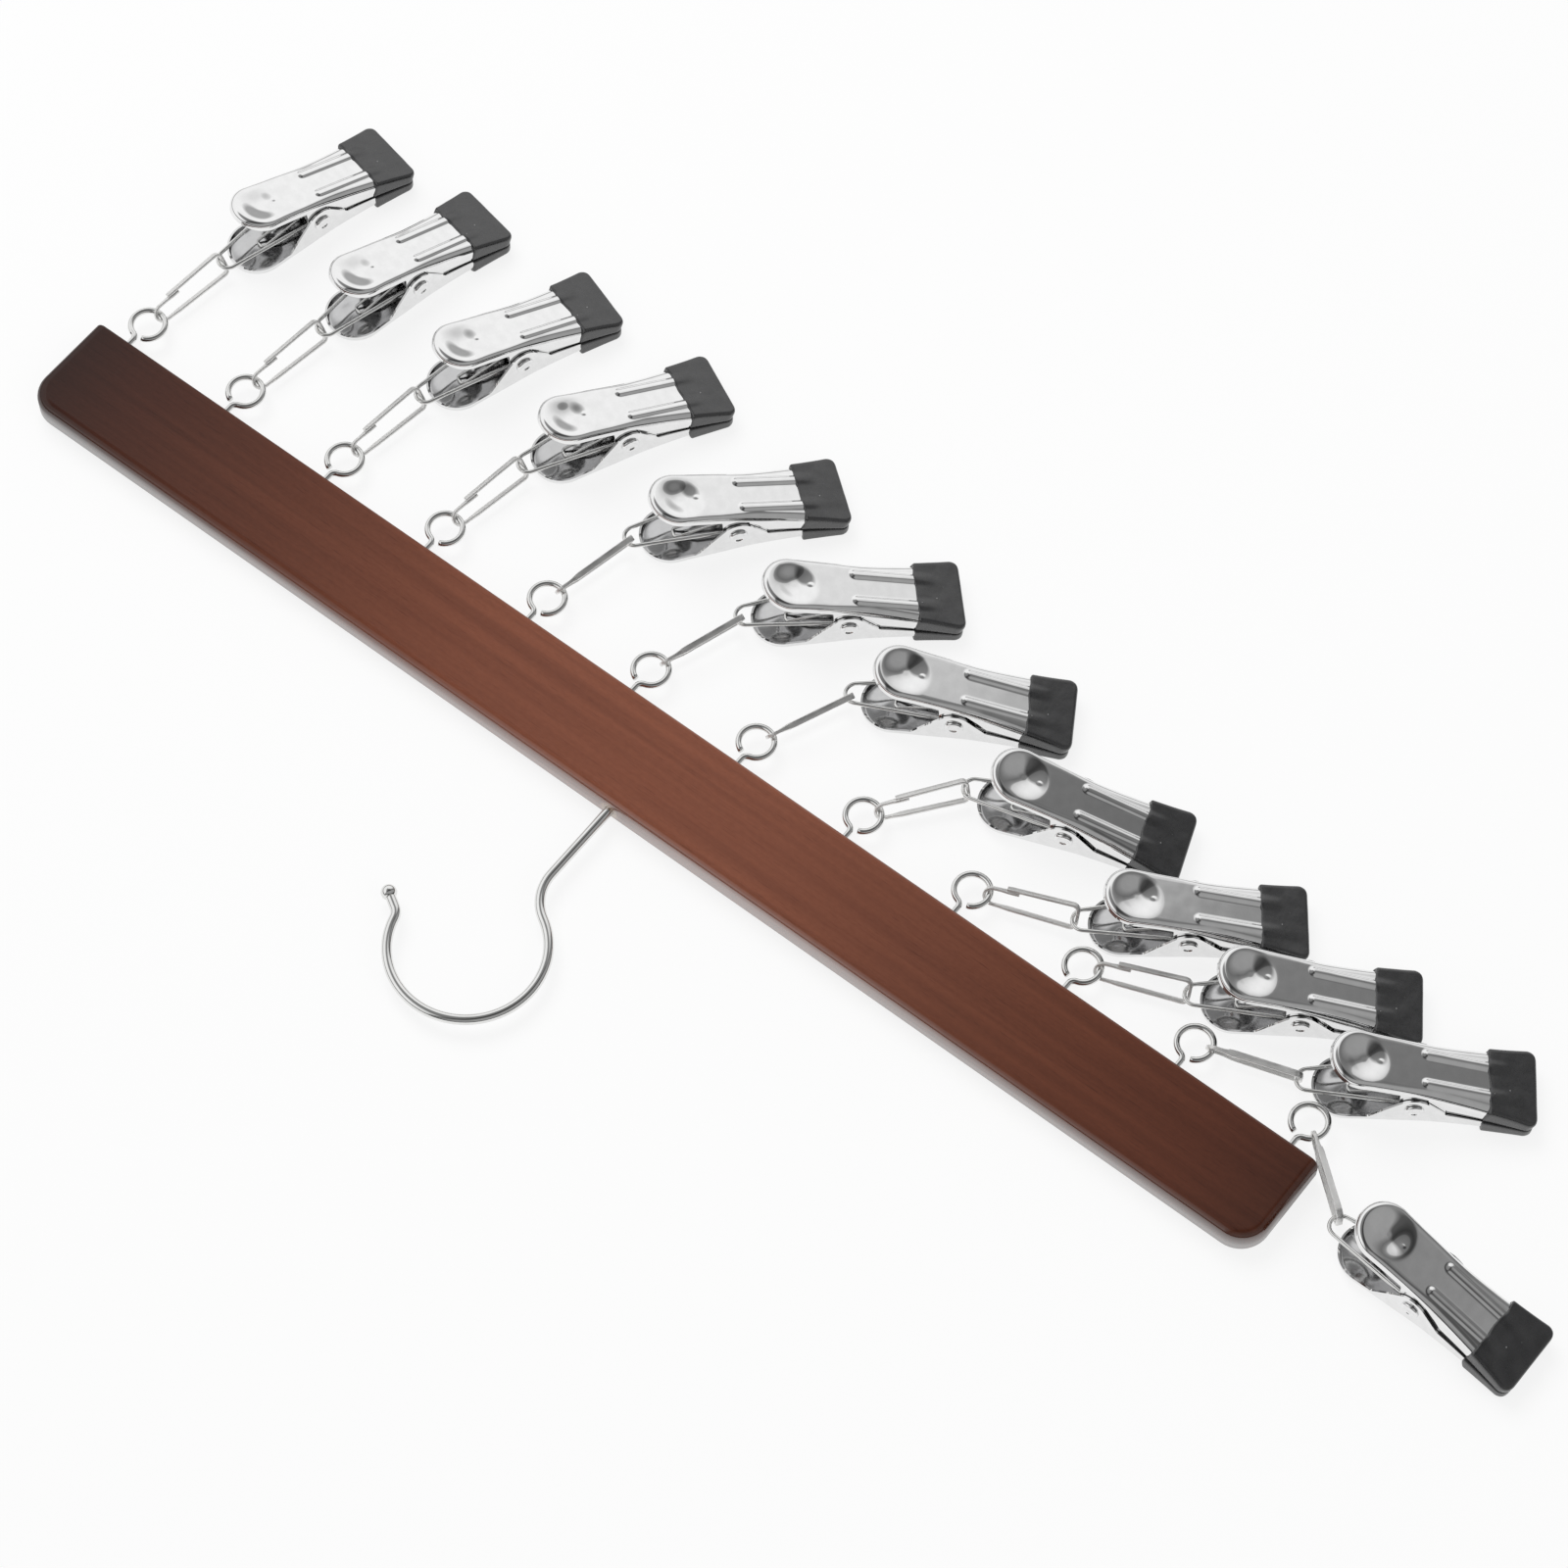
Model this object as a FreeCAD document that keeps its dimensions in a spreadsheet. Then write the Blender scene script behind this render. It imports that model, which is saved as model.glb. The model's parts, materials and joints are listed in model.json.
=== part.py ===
import FreeCAD, Part
import math
import os
import Sketcher

# Skirt hanger: a wooden bar with a swivel hook on one long edge and twelve
# spring clips hung from screw eyes on the other. Millimetres. The hanger lies
# flat: X runs along the bar, +Y points to the clips, Z is up, and the origin is
# the middle of the bar's underside.

V = FreeCAD.Vector
doc = FreeCAD.newDocument("skirt_hanger")

SIZES = {
    # wooden bar
    "bar_length": 438.0,
    "bar_width": 32.5,
    "bar_thick": 10.0,
    "bar_corner_r": 9.0,
    "bar_round_r": 3.0,
    "bar_edge_r": 0.8,
    # swivel hook
    "hook_wire": 3.0,
    "hook_loop_r": 22.3,
    "hook_loop_x": -4.0,
    "hook_loop_reach": 57.0,
    "hook_neck_r": 14.0,
    "hook_depth": 20.0,
    "hook_open_angle": 195.0,
    "hook_lip_r": 4.5,
    "hook_lip_angle": 44.0,
    "hook_lip_length": 5.0,
    "hook_ball": 4.6,
    "running_gap": 0.06,
    # screw eyes
    "eye_pitch": 38.0,
    "eye_wire": 1.6,
    "eye_ring_r": 5.1,
    "eye_offset": 10.2,
    "eye_bend_r": 2.0,
    "eye_depth": 14.0,
    "eye_end_angle": 70.0,
    # wire links
    "link_wire": 1.1,
    "link_length": 23.8,
    "link_eye_r": 2.6,
    "link_bail_half": 3.2,
    "link_corner_r": 1.7,
    "link_lap_start": 15.0,
    "link_lap_length": 3.5,
    "link_lap_gap": 0.1,
    "chain_gap": 0.3,
    # clip: both pressed shells
    "sheet": 0.6,
    "pin_height": 8.0,
    "jaw_spread": 18.0,
    "handle_length": 27.2,
    "jaw_length": 32.4,
    "waist_half": 8.1,
    "waist_back": 6.0,
    "tip_half": 11.2,
    "tip_corner_r": 2.4,
    "press_r": 1.5,
    "rim_depth": 2.6,
    "jaw_gap": 0.6,
    "ear_gap": 0.2,
    "upper_ear_r": 4.2,
    "upper_notch": 6.5,
    "lower_ear_r": 5.2,
    "lower_slope": 12.0,
    "dimple_r": 6.3,
    "dimple_depth": 1.2,
    "dimple_back": 17.9,
    "rib_half": 4.3,
    "rib_width": 2.8,
    "rib_height": 0.5,
    "rib_back": 0.4,
    # clip: dipped jaw tips
    "dip_line": 18.6,
    "dip_skin": 0.5,
    "dip_edge_r": 0.9,
    "dip_gap": 0.15,
    # clip: rivet, bail and spring
    "pin": 3.0,
    "rivet_head": 4.8,
    "rivet_head_thick": 0.7,
    "rivet_dish": 0.45,
    "bail_wire": 1.0,
    "bail_eye_wire": 1.2,
    "bail_length": 31.8,
    "bail_drop": 3.0,
    "bail_head_r": 3.2,
    "bail_pin_half": 6.7,
    "bail_eye_turn": 330.0,
    "spring_wire": 0.9,
    "spring_r": 2.6,
    "spring_pitch": 1.65,
    "spring_tongue_half": 1.5,
    "spring_tongue_length": 18.0,
    "spring_bend_r": 1.1,
    "spring_leg_length": 8.6,
    "spring_gap": 0.12,
}

# How each clip lies, from the hanger's left end to its right: the link's and the
# clip's direction from +Y towards +X, and the link's roll from lying flat.
LINK_YAW = [7, 8, 8, 9.5, 13, 19.5, 24, 38, 70, 69, 73, 130]
CLIP_YAW = [12.5, 11.5, 19, 26, 37.5, 46, 59, 70, 53, 56, 55, 91]
LINK_ROLL = [62, 60, 60, 60, 112, 112, 116, 70, 60, 60, 105, 92]
# Screw eyes whose ring opens to the left of its stem.
FLIPPED_EYES = [2, 3, 6, 7, 10, 12]
CLIPS = len(LINK_YAW)

dim = doc.addObject("Spreadsheet::Sheet", "dim")
cells = dict(SIZES)
for index in range(CLIPS):
    cells["link_yaw_%02d" % (index + 1)] = LINK_YAW[index]
    cells["clip_yaw_%02d" % (index + 1)] = CLIP_YAW[index]
    cells["link_roll_%02d" % (index + 1)] = LINK_ROLL[index]
for row, (name, value) in enumerate(cells.items(), 1):
    dim.set("A%d" % row, name)
    dim.set("B%d" % row, str(value))
    dim.setAlias("B%d" % row, name)
doc.recompute()


class Sizes:
    """The sheet's values by name."""

    def __getattr__(self, name):
        return float(dim.get(name))


S = Sizes()


def polar(centre, radius, degrees):
    a = math.radians(degrees)
    return V(centre.x + radius * math.cos(a), centre.y + radius * math.sin(a), 0)


def new_body(name):
    return doc.addObject("PartDesign::Body", name)


def new_sketch(body, plane, name, offset=None):
    """A sketch on one of the body's own origin planes."""
    sketch = body.newObject("Sketcher::SketchObject", name)
    support = [f for f in body.Origin.OriginFeatures if f.Role == plane + "_Plane"]
    sketch.AttachmentSupport = [(support[0], "")]
    sketch.MapMode = "FlatFace"
    if offset:
        sketch.setExpression("AttachmentOffset.Base.z", offset)
    return sketch


def add_line(sketch, start, end):
    return sketch.addGeometry(Part.LineSegment(start, end), False)


def add_arc(sketch, centre, radius, first, last):
    """An arc that runs counter-clockwise from one angle to another."""
    circle = Part.Circle(centre, V(0, 0, 1), radius)
    arc = Part.ArcOfCircle(circle, math.radians(first), math.radians(last))
    return sketch.addGeometry(arc, False)


def ends_of(sketch, index):
    return {1: sketch.getPoint(index, 1), 2: sketch.getPoint(index, 2)}


def join_ends(sketch):
    """Join the ends of neighbouring edges where they meet."""
    count = sketch.GeometryCount
    ends = [ends_of(sketch, i) for i in range(count)]
    for i in range(count):
        for j in range(i + 1, count):
            for a in (1, 2):
                for b in (1, 2):
                    if ends[i][a].distanceToPoint(ends[j][b]) < 1e-5:
                        joined = Sketcher.Constraint("Coincident", i, a, j, b)
                        sketch.addConstraint(joined)


def set_radius(sketch, index, formula):
    radius = sketch.Geometry[index].Radius
    number = sketch.addConstraint(Sketcher.Constraint("Radius", index, radius))
    sketch.setExpression("Constraints[%d]" % number, formula)


def add_circle(sketch, centre, formula, radius):
    index = sketch.addGeometry(Part.Circle(centre, V(0, 0, 1), radius), False)
    set_radius(sketch, index, formula)
    return index


def pad(body, sketch, formula, symmetric=False, reverse=False):
    feature = body.newObject("PartDesign::Pad", sketch.Name + "_pad")
    feature.Profile = sketch
    feature.SideType = "Symmetric" if symmetric else "One side"
    feature.Reversed = reverse
    feature.setExpression("Length", formula)
    return feature


def pocket(body, sketch, formula=None, symmetric=False, reverse=False):
    feature = body.newObject("PartDesign::Pocket", sketch.Name + "_cut")
    feature.Profile = sketch
    feature.Reversed = reverse
    feature.SideType = "Symmetric" if symmetric else "One side"
    if formula:
        feature.setExpression("Length", formula)
    else:
        feature.Type = "ThroughAll"
    return feature


def pipe(body, path, profile):
    feature = body.newObject("PartDesign::AdditivePipe", path.Name + "_wire")
    feature.Profile = profile
    feature.Spine = (path, [])
    feature.Transition = "Transformed"
    return feature


def fillet(body, base, chosen, formula):
    """Round the edges of a feature that a test picks."""
    names = []
    for number, edge in enumerate(base.Shape.Edges, 1):
        if chosen(edge):
            names.append("Edge%d" % number)
    feature = body.newObject("PartDesign::Fillet", base.Name + "_round")
    feature.Base = (base, names)
    feature.setExpression("Radius", formula)
    return feature


def flat_at(edge, axis, place):
    """Whether an edge lies in a plane square to an axis."""
    box = edge.BoundBox
    low = getattr(box, axis + "Min")
    high = getattr(box, axis + "Max")
    return abs(low - place) < 1e-4 and abs(high - place) < 1e-4


def build_bar():
    body = new_body("bar")
    half_x = S.bar_length / 2
    half_y = S.bar_width / 2
    r = S.bar_corner_r
    plan = new_sketch(body, "XY", "bar_plan")
    add_line(plan, V(-half_x, half_y, 0), V(-half_x, r - half_y, 0))
    left = add_arc(plan, V(r - half_x, r - half_y, 0), r, 180, 270)
    add_line(plan, V(r - half_x, -half_y, 0), V(half_x - r, -half_y, 0))
    right = add_arc(plan, V(half_x - r, r - half_y, 0), r, 270, 360)
    add_line(plan, V(half_x, r - half_y, 0), V(half_x, half_y, 0))
    add_line(plan, V(half_x, half_y, 0), V(-half_x, half_y, 0))
    join_ends(plan)
    set_radius(plan, left, "dim.bar_corner_r")
    set_radius(plan, right, "dim.bar_corner_r")
    plank = pad(body, plan, "dim.bar_thick")
    doc.recompute()

    def hook_side(edge):
        level = flat_at(edge, "Z", 0) or flat_at(edge, "Z", S.bar_thick)
        return level and not flat_at(edge, "Y", half_y)

    rounded = fillet(body, plank, hook_side, "dim.bar_round_r")
    doc.recompute()
    fillet(body, rounded, lambda e: flat_at(e, "Y", half_y), "dim.bar_edge_r")
    doc.recompute()

    bore = new_sketch(body, "XZ", "hook_bore", "dim.bar_width / 2")
    bore_formula = "dim.hook_wire / 2 + dim.running_gap"
    add_circle(bore, V(0, S.bar_thick / 2, 0), bore_formula, S.hook_wire / 2)
    pocket(body, bore, "dim.hook_depth + 1")
    pilot = new_sketch(body, "XZ", "eye_pilot", "-dim.bar_width / 2")
    first_x = -(CLIPS - 1) / 2 * S.eye_pitch
    pilot_formula = "dim.eye_wire / 2 + dim.running_gap"
    add_circle(pilot, V(first_x, S.bar_thick / 2, 0), pilot_formula, S.eye_wire / 2)
    hole = pocket(body, pilot, "dim.eye_depth + 1", reverse=True)
    row = body.newObject("PartDesign::LinearPattern", "eye_pilots")
    row.Originals = [hole]
    row.Direction = (pilot, ["H_Axis"])
    row.Occurrences = CLIPS
    row.setExpression("Length", "dim.eye_pitch * %d" % (CLIPS - 1))
    body.Tip = row
    doc.recompute()
    return body


def build_hook():
    """The hook's wire path lies flat, starting at its blind end in the bar."""
    body = new_body("hook")
    edge = -S.bar_width / 2
    centre = V(S.hook_loop_x, edge - S.hook_loop_reach, 0)
    loop_r = S.hook_loop_r
    neck_r = S.hook_neck_r
    rise = math.sqrt((loop_r + neck_r) ** 2 - (neck_r - centre.x) ** 2)
    neck = V(neck_r, centre.y + rise, 0)
    turn = math.degrees(math.atan2(rise, neck_r - centre.x))
    path = new_sketch(body, "XY", "hook_path")
    add_line(path, V(0, edge + S.hook_depth, 0), V(0, neck.y, 0))
    bend = add_arc(path, neck, neck_r, 180, 180 + turn)
    loop = add_arc(path, centre, loop_r, S.hook_open_angle - 360, turn)
    lip_from = polar(centre, loop_r, S.hook_open_angle)
    lip = polar(lip_from, S.hook_lip_r, S.hook_open_angle)
    lip_start = S.hook_open_angle + 180
    lip_end = lip_start + S.hook_lip_angle
    curl = add_arc(path, lip, S.hook_lip_r, lip_start, lip_end)
    end = polar(lip, S.hook_lip_r, lip_end)
    tip = polar(end, S.hook_lip_length, lip_end + 90)
    add_line(path, end, tip)
    join_ends(path)
    set_radius(path, bend, "dim.hook_neck_r")
    set_radius(path, loop, "dim.hook_loop_r")
    set_radius(path, curl, "dim.hook_lip_r")
    wire = new_sketch(body, "XZ", "hook_wire_round", "dim.bar_width / 2 - dim.hook_depth")
    add_circle(wire, V(0, 0, 0), "dim.hook_wire / 2", S.hook_wire / 2)
    doc.recompute()
    pipe(body, path, wire)
    ball = body.newObject("PartDesign::AdditiveSphere", "hook_ball_tip")
    ball.setExpression("Radius", "dim.hook_ball / 2")
    ball.Placement = FreeCAD.Placement(tip, FreeCAD.Rotation())
    body.setExpression("Placement.Base.z", "dim.bar_thick / 2")
    doc.recompute()
    return body


def build_eye():
    """One screw eye, its stem along Y and its origin on the bar's edge."""
    body = new_body("screw_eye")
    ring = V(0, S.eye_offset, 0)
    r = S.eye_ring_r
    bend_r = S.eye_bend_r
    fall = math.sqrt(r * r + 2 * r * bend_r)
    bend = V(-bend_r, ring.y - fall, 0)
    turn = math.degrees(math.atan2(fall, bend_r))
    path = new_sketch(body, "XY", "eye_path")
    add_line(path, V(0, -S.eye_depth, 0), V(0, bend.y, 0))
    lower = add_arc(path, bend, bend_r, 0, turn)
    round_part = add_arc(path, ring, r, -S.eye_end_angle, 180 + turn)
    join_ends(path)
    set_radius(path, lower, "dim.eye_bend_r")
    set_radius(path, round_part, "dim.eye_ring_r")
    wire = new_sketch(body, "XZ", "eye_wire_round", "dim.eye_depth")
    add_circle(wire, V(0, 0, 0), "dim.eye_wire / 2", S.eye_wire / 2)
    doc.recompute()
    pipe(body, path, wire)
    doc.recompute()
    return body


def outer_tangent(a, ra, b, rb):
    """Where a straight wire leaves circle a and meets circle b on their right."""
    run = b - a
    lean = math.degrees(math.atan2(run.y, run.x))
    lean -= math.degrees(math.acos((ra - rb) / run.Length))
    return lean, polar(a, ra, lean), polar(b, rb, lean)


def build_link():
    """A link along Y: its origin is the screw eye's wire, its far end the bail."""
    body = new_body("link")
    wire_r = S.link_wire / 2
    eye_r = S.link_eye_r
    corner_r = S.link_corner_r
    bow_centre = V(0, eye_r - S.eye_wire / 2 - wire_r - S.chain_gap, 0)
    end_y = S.link_length + S.bail_wire / 2 + wire_r + S.chain_gap
    corner = V(S.link_bail_half - corner_r, end_y - corner_r, 0)
    far_corner = V(-corner.x - S.link_wire - S.link_lap_gap, corner.y, 0)
    lean, leave, meet = outer_tangent(bow_centre, eye_r, corner, corner_r)
    rise = meet - leave
    left_leave = V(-leave.x, leave.y, 0)
    left_meet = polar(far_corner, corner_r, 180 - lean)
    left_slope = -rise.x / rise.y
    start_y = S.link_lap_start + S.link_lap_length
    start = left_leave + V(left_slope, 1, 0) * (start_y - left_leave.y)
    stop = left_meet + V(left_slope, 1, 0) * (S.link_lap_start - left_meet.y)
    path = new_sketch(body, "XY", "link_path")
    add_line(path, start, left_leave)
    bow = add_arc(path, bow_centre, eye_r, 180 - lean, 360 + lean)
    add_line(path, leave, meet)
    right = add_arc(path, corner, corner_r, lean, 90)
    add_line(path, polar(corner, corner_r, 90), polar(far_corner, corner_r, 90))
    left = add_arc(path, far_corner, corner_r, 90, 180 - lean)
    add_line(path, left_meet, stop)
    join_ends(path)
    set_radius(path, bow, "dim.link_eye_r")
    set_radius(path, right, "dim.link_corner_r")
    set_radius(path, left, "dim.link_corner_r")
    start_formula = "-(dim.link_lap_start + dim.link_lap_length)"
    wire = new_sketch(body, "XZ", "link_wire_round", start_formula)
    add_circle(wire, V(start.x, 0, 0), "dim.link_wire / 2", wire_r)
    doc.recompute()
    pipe(body, path, wire)
    doc.recompute()
    return body


class Outline:
    """A shell's plan: a round handle, long hollow flanks and a square jaw end."""

    def __init__(self, waist):
        reach = S.jaw_length + S.waist_back
        flare = S.tip_half - waist
        self.flank_r = (flare**2 + reach**2) / (2 * flare)
        self.flank = V(waist + self.flank_r, -S.waist_back, 0)
        back = S.handle_length - S.waist_back
        grown = back**2 + self.flank.x**2 - self.flank_r**2
        self.handle_r = grown / (2 * (back + self.flank_r))
        self.handle = V(0, self.handle_r - S.handle_length, 0)
        corner_y = S.jaw_length - S.tip_corner_r
        span = (self.flank_r + S.tip_corner_r) ** 2 - (corner_y - self.flank.y) ** 2
        self.corner = V(self.flank.x - math.sqrt(span), corner_y, 0)
        to_handle = self.flank - self.handle
        self.handle_angle = math.degrees(math.atan2(to_handle.y, to_handle.x))
        to_flank = self.flank - self.corner
        self.corner_angle = math.degrees(math.atan2(to_flank.y, to_flank.x))

    def half_at(self, y, grow=0.0):
        """Half the width at a place along the clip."""
        flank_r = self.flank_r - grow
        return self.flank.x - math.sqrt(flank_r**2 - (y - self.flank.y) ** 2)

    def draw_jaw_end(self, sketch, grow):
        corner_r = S.tip_corner_r + grow
        left = V(-self.corner.x, self.corner.y, 0)
        add_arc(sketch, self.corner, corner_r, self.corner_angle, 90)
        add_line(sketch, polar(self.corner, corner_r, 90), polar(left, corner_r, 90))
        add_arc(sketch, left, corner_r, 90, 180 - self.corner_angle)

    def draw_flanks(self, sketch, grow, first):
        """Both flanks, from an angle near the handle to the jaw's corners."""
        left = V(-self.flank.x, self.flank.y, 0)
        last = 180 + self.corner_angle
        add_arc(sketch, self.flank, self.flank_r - grow, last, first)
        add_arc(sketch, left, self.flank_r - grow, 180 - first, 180 - last)

    def draw(self, sketch, grow):
        angle = self.handle_angle
        add_arc(sketch, self.handle, self.handle_r + grow, 180 - angle, 360 + angle)
        self.draw_flanks(sketch, grow, 180 + angle)
        self.draw_jaw_end(sketch, grow)
        join_ends(sketch)

    def draw_tip(self, sketch, grow):
        """The outline's last stretch, from the dip line to the jaw's end."""
        half = self.half_at(S.dip_line, grow)
        place = V(half, S.dip_line, 0) - self.flank
        first = 180 + math.degrees(math.atan2(-place.y, -place.x))
        add_line(sketch, V(-half, S.dip_line, 0), V(half, S.dip_line, 0))
        self.draw_flanks(sketch, grow, first)
        self.draw_jaw_end(sketch, grow)
        join_ends(sketch)


def draw_ribs(sketch, grow, start):
    """Both pressed ribs, with round ends, from a place along the jaw."""
    r = S.rib_width / 2 + grow
    end = S.jaw_length - S.rib_width
    for x in (-S.rib_half, S.rib_half):
        add_line(sketch, V(x + r, start, 0), V(x + r, end, 0))
        add_arc(sketch, V(x, end, 0), r, 0, 180)
        add_line(sketch, V(x - r, end, 0), V(x - r, start, 0))
        add_arc(sketch, V(x, start, 0), r, 180, 360)
    join_ends(sketch)


def jaw_line(y, gap):
    """The closing plane between the two jaws, seen from the side."""
    return y * math.tan(math.radians(S.jaw_spread / 2)) + gap


def draw_rim_cut(sketch, ear_r, slope_from):
    """What is cut away below a shell's rim, ears and jaw sides."""
    far = 2 * S.jaw_length
    rim = S.pin_height - S.rim_depth
    corner = V(-slope_from, rim, 0)
    bearing = math.degrees(math.atan2(corner.y, corner.x))
    first = bearing + math.degrees(math.acos(ear_r / corner.Length))
    last = 315
    rear = polar(V(0, 0, 0), ear_r, first)
    front = polar(V(0, 0, 0), ear_r, last)
    slope = math.tan(math.radians(S.jaw_spread / 2))
    meet_y = (front.x - front.y + S.jaw_gap) / (1 - slope)
    meet = V(meet_y, jaw_line(meet_y, S.jaw_gap), 0)
    start = V(-far, rim, 0)
    end = V(far, jaw_line(far, S.jaw_gap), 0)
    low_end = V(far, -far, 0)
    low_start = V(-far, -far, 0)
    add_line(sketch, start, corner)
    add_line(sketch, corner, rear)
    ear = add_arc(sketch, V(0, 0, 0), ear_r, first, last)
    add_line(sketch, front, meet)
    add_line(sketch, meet, end)
    add_line(sketch, end, low_end)
    add_line(sketch, low_end, low_start)
    add_line(sketch, low_start, start)
    join_ends(sketch)
    return ear


def draw_dimple(sketch, sphere_r, floor, rim_z, top_z):
    """A spherical cap's half section, from its floor up to a level top."""
    centre_z = floor + sphere_r
    half = math.sqrt(sphere_r**2 - (centre_z - rim_z) ** 2)
    end = math.degrees(math.atan2(rim_z - centre_z, half))
    add_arc(sketch, V(0, centre_z, 0), sphere_r, -90, end)
    rim = V(half, rim_z, 0)
    if top_z > rim_z:
        add_line(sketch, rim, V(half, top_z, 0))
        rim = V(half, top_z, 0)
    add_line(sketch, rim, V(0, top_z, 0))
    add_line(sketch, V(0, top_z, 0), V(0, floor, 0))
    join_ends(sketch)


def revolve(body, kind, sketch, axis):
    feature = body.newObject("PartDesign::" + kind, sketch.Name + "_turn")
    feature.Profile = sketch
    feature.ReferenceAxis = (sketch, [axis])
    feature.Angle = 360
    return feature


def build_shell(name, outline, ear_r, ear, slope):
    """A pressed shell, its plate up and the pin along X through the origin."""
    body = new_body(name)
    plan = new_sketch(body, "XY", name + "_plan", "dim.pin_height")
    outline.draw(plan, 0)
    blank = pad(body, plan, "dim.pin_height + dim." + ear, reverse=True)
    doc.recompute()
    top = S.pin_height
    pressed = fillet(body, blank, lambda e: flat_at(e, "Z", top), "dim.press_r")
    doc.recompute()
    inside = new_sketch(body, "XY", name + "_inside", "dim.pin_height - dim.sheet")
    outline.draw(inside, -S.sheet)
    hollow = pocket(body, inside)
    doc.recompute()
    rim = new_sketch(body, "YZ", name + "_rim")
    draw_rim_cut(rim, ear_r, slope)
    pocket(body, rim, "4 * dim.tip_half", symmetric=True)
    hole = new_sketch(body, "YZ", name + "_pin_hole")
    add_circle(hole, V(0, 0, 0), "dim.pin / 2 + dim.running_gap", S.pin / 2)
    pocket(body, hole, "4 * dim.tip_half", symmetric=True)
    doc.recompute()

    depth = S.dimple_depth
    sphere_r = (S.dimple_r**2 + depth**2) / (2 * depth)
    bump = new_sketch(body, "YZ", name + "_bump")
    bump.setExpression("AttachmentOffset.Base.x", "-dim.dimple_back")
    under = top - S.sheet
    draw_dimple(bump, sphere_r + S.sheet, under - depth, under, under + S.sheet / 2)
    revolve(body, "Revolution", bump, "V_Axis")
    dent = new_sketch(body, "YZ", name + "_dent")
    dent.setExpression("AttachmentOffset.Base.x", "-dim.dimple_back")
    draw_dimple(dent, sphere_r, top - depth, top, top)
    revolve(body, "Groove", dent, "V_Axis")
    doc.recompute()

    ribs = new_sketch(body, "XY", name + "_ribs", "dim.pin_height")
    draw_ribs(ribs, 0, S.rib_back)
    raised = pad(body, ribs, "dim.rib_height")
    doc.recompute()
    crest = S.pin_height + S.rib_height
    fillet(body, raised, lambda e: flat_at(e, "Z", crest), "dim.rib_height * 0.8")
    doc.recompute()
    return body


def build_tip(name, outline, shell):
    """A dipped tip: a rounded boot over the shell's end, filled to the jaw line."""
    body = new_body(name + "_boot")
    plan = new_sketch(body, "XY", name + "_plan", "dim.pin_height + dim.dip_skin")
    outline.draw_tip(plan, S.dip_skin)
    boot = pad(body, plan, "dim.pin_height", reverse=True)
    doc.recompute()
    top = S.pin_height + S.dip_skin

    def crown(edge):
        return flat_at(edge, "Z", top) and not flat_at(edge, "Y", S.dip_line)

    fillet(body, boot, crown, "dim.dip_edge_r")
    doc.recompute()
    ribs = new_sketch(body, "XY", name + "_ribs", "dim.pin_height")
    draw_ribs(ribs, S.dip_skin, S.dip_line + S.rib_width / 2 + S.dip_skin)
    lumps = pad(body, ribs, "dim.dip_skin + dim.rib_height")
    doc.recompute()
    crest = S.pin_height + S.dip_skin + S.rib_height
    fillet(body, lumps, lambda e: flat_at(e, "Z", crest), "dim.rib_height * 0.8")
    side = new_sketch(body, "YZ", name + "_side")
    far = 2 * S.jaw_length
    corners = [
        V(-far, jaw_line(-far, S.dip_gap), 0),
        V(far, jaw_line(far, S.dip_gap), 0),
        V(far, -far, 0),
        V(-far, -far, 0),
    ]
    for number in range(4):
        add_line(side, corners[number - 1], corners[number])
    join_ends(side)
    pocket(body, side, "4 * dim.tip_half", symmetric=True)
    doc.recompute()
    tip = doc.addObject("Part::Cut", name)
    tip.Base = body
    tip.Tool = shell
    doc.recompute()
    return tip


def build_rivet(outline):
    """The pin with a dished head outside each of the lower shell's ears."""
    body = new_body("rivet")
    pin_r = S.pin / 2
    head_r = S.rivet_head / 2
    inner = outline.half_at(head_r) + S.running_gap
    outer = inner + S.rivet_head_thick
    section = new_sketch(body, "XY", "rivet_section")
    half = [
        V(outer - S.rivet_dish, 0, 0),
        V(outer, head_r * 0.6, 0),
        V(outer, head_r * 0.85, 0),
        V(inner, head_r, 0),
        V(inner, pin_r, 0),
    ]
    corners = half + [V(-p.x, p.y, 0) for p in reversed(half)]
    for number in range(len(corners)):
        add_line(section, corners[number - 1], corners[number])
    join_ends(section)
    revolve(body, "Revolution", section, "H_Axis")
    doc.recompute()
    return body


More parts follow.
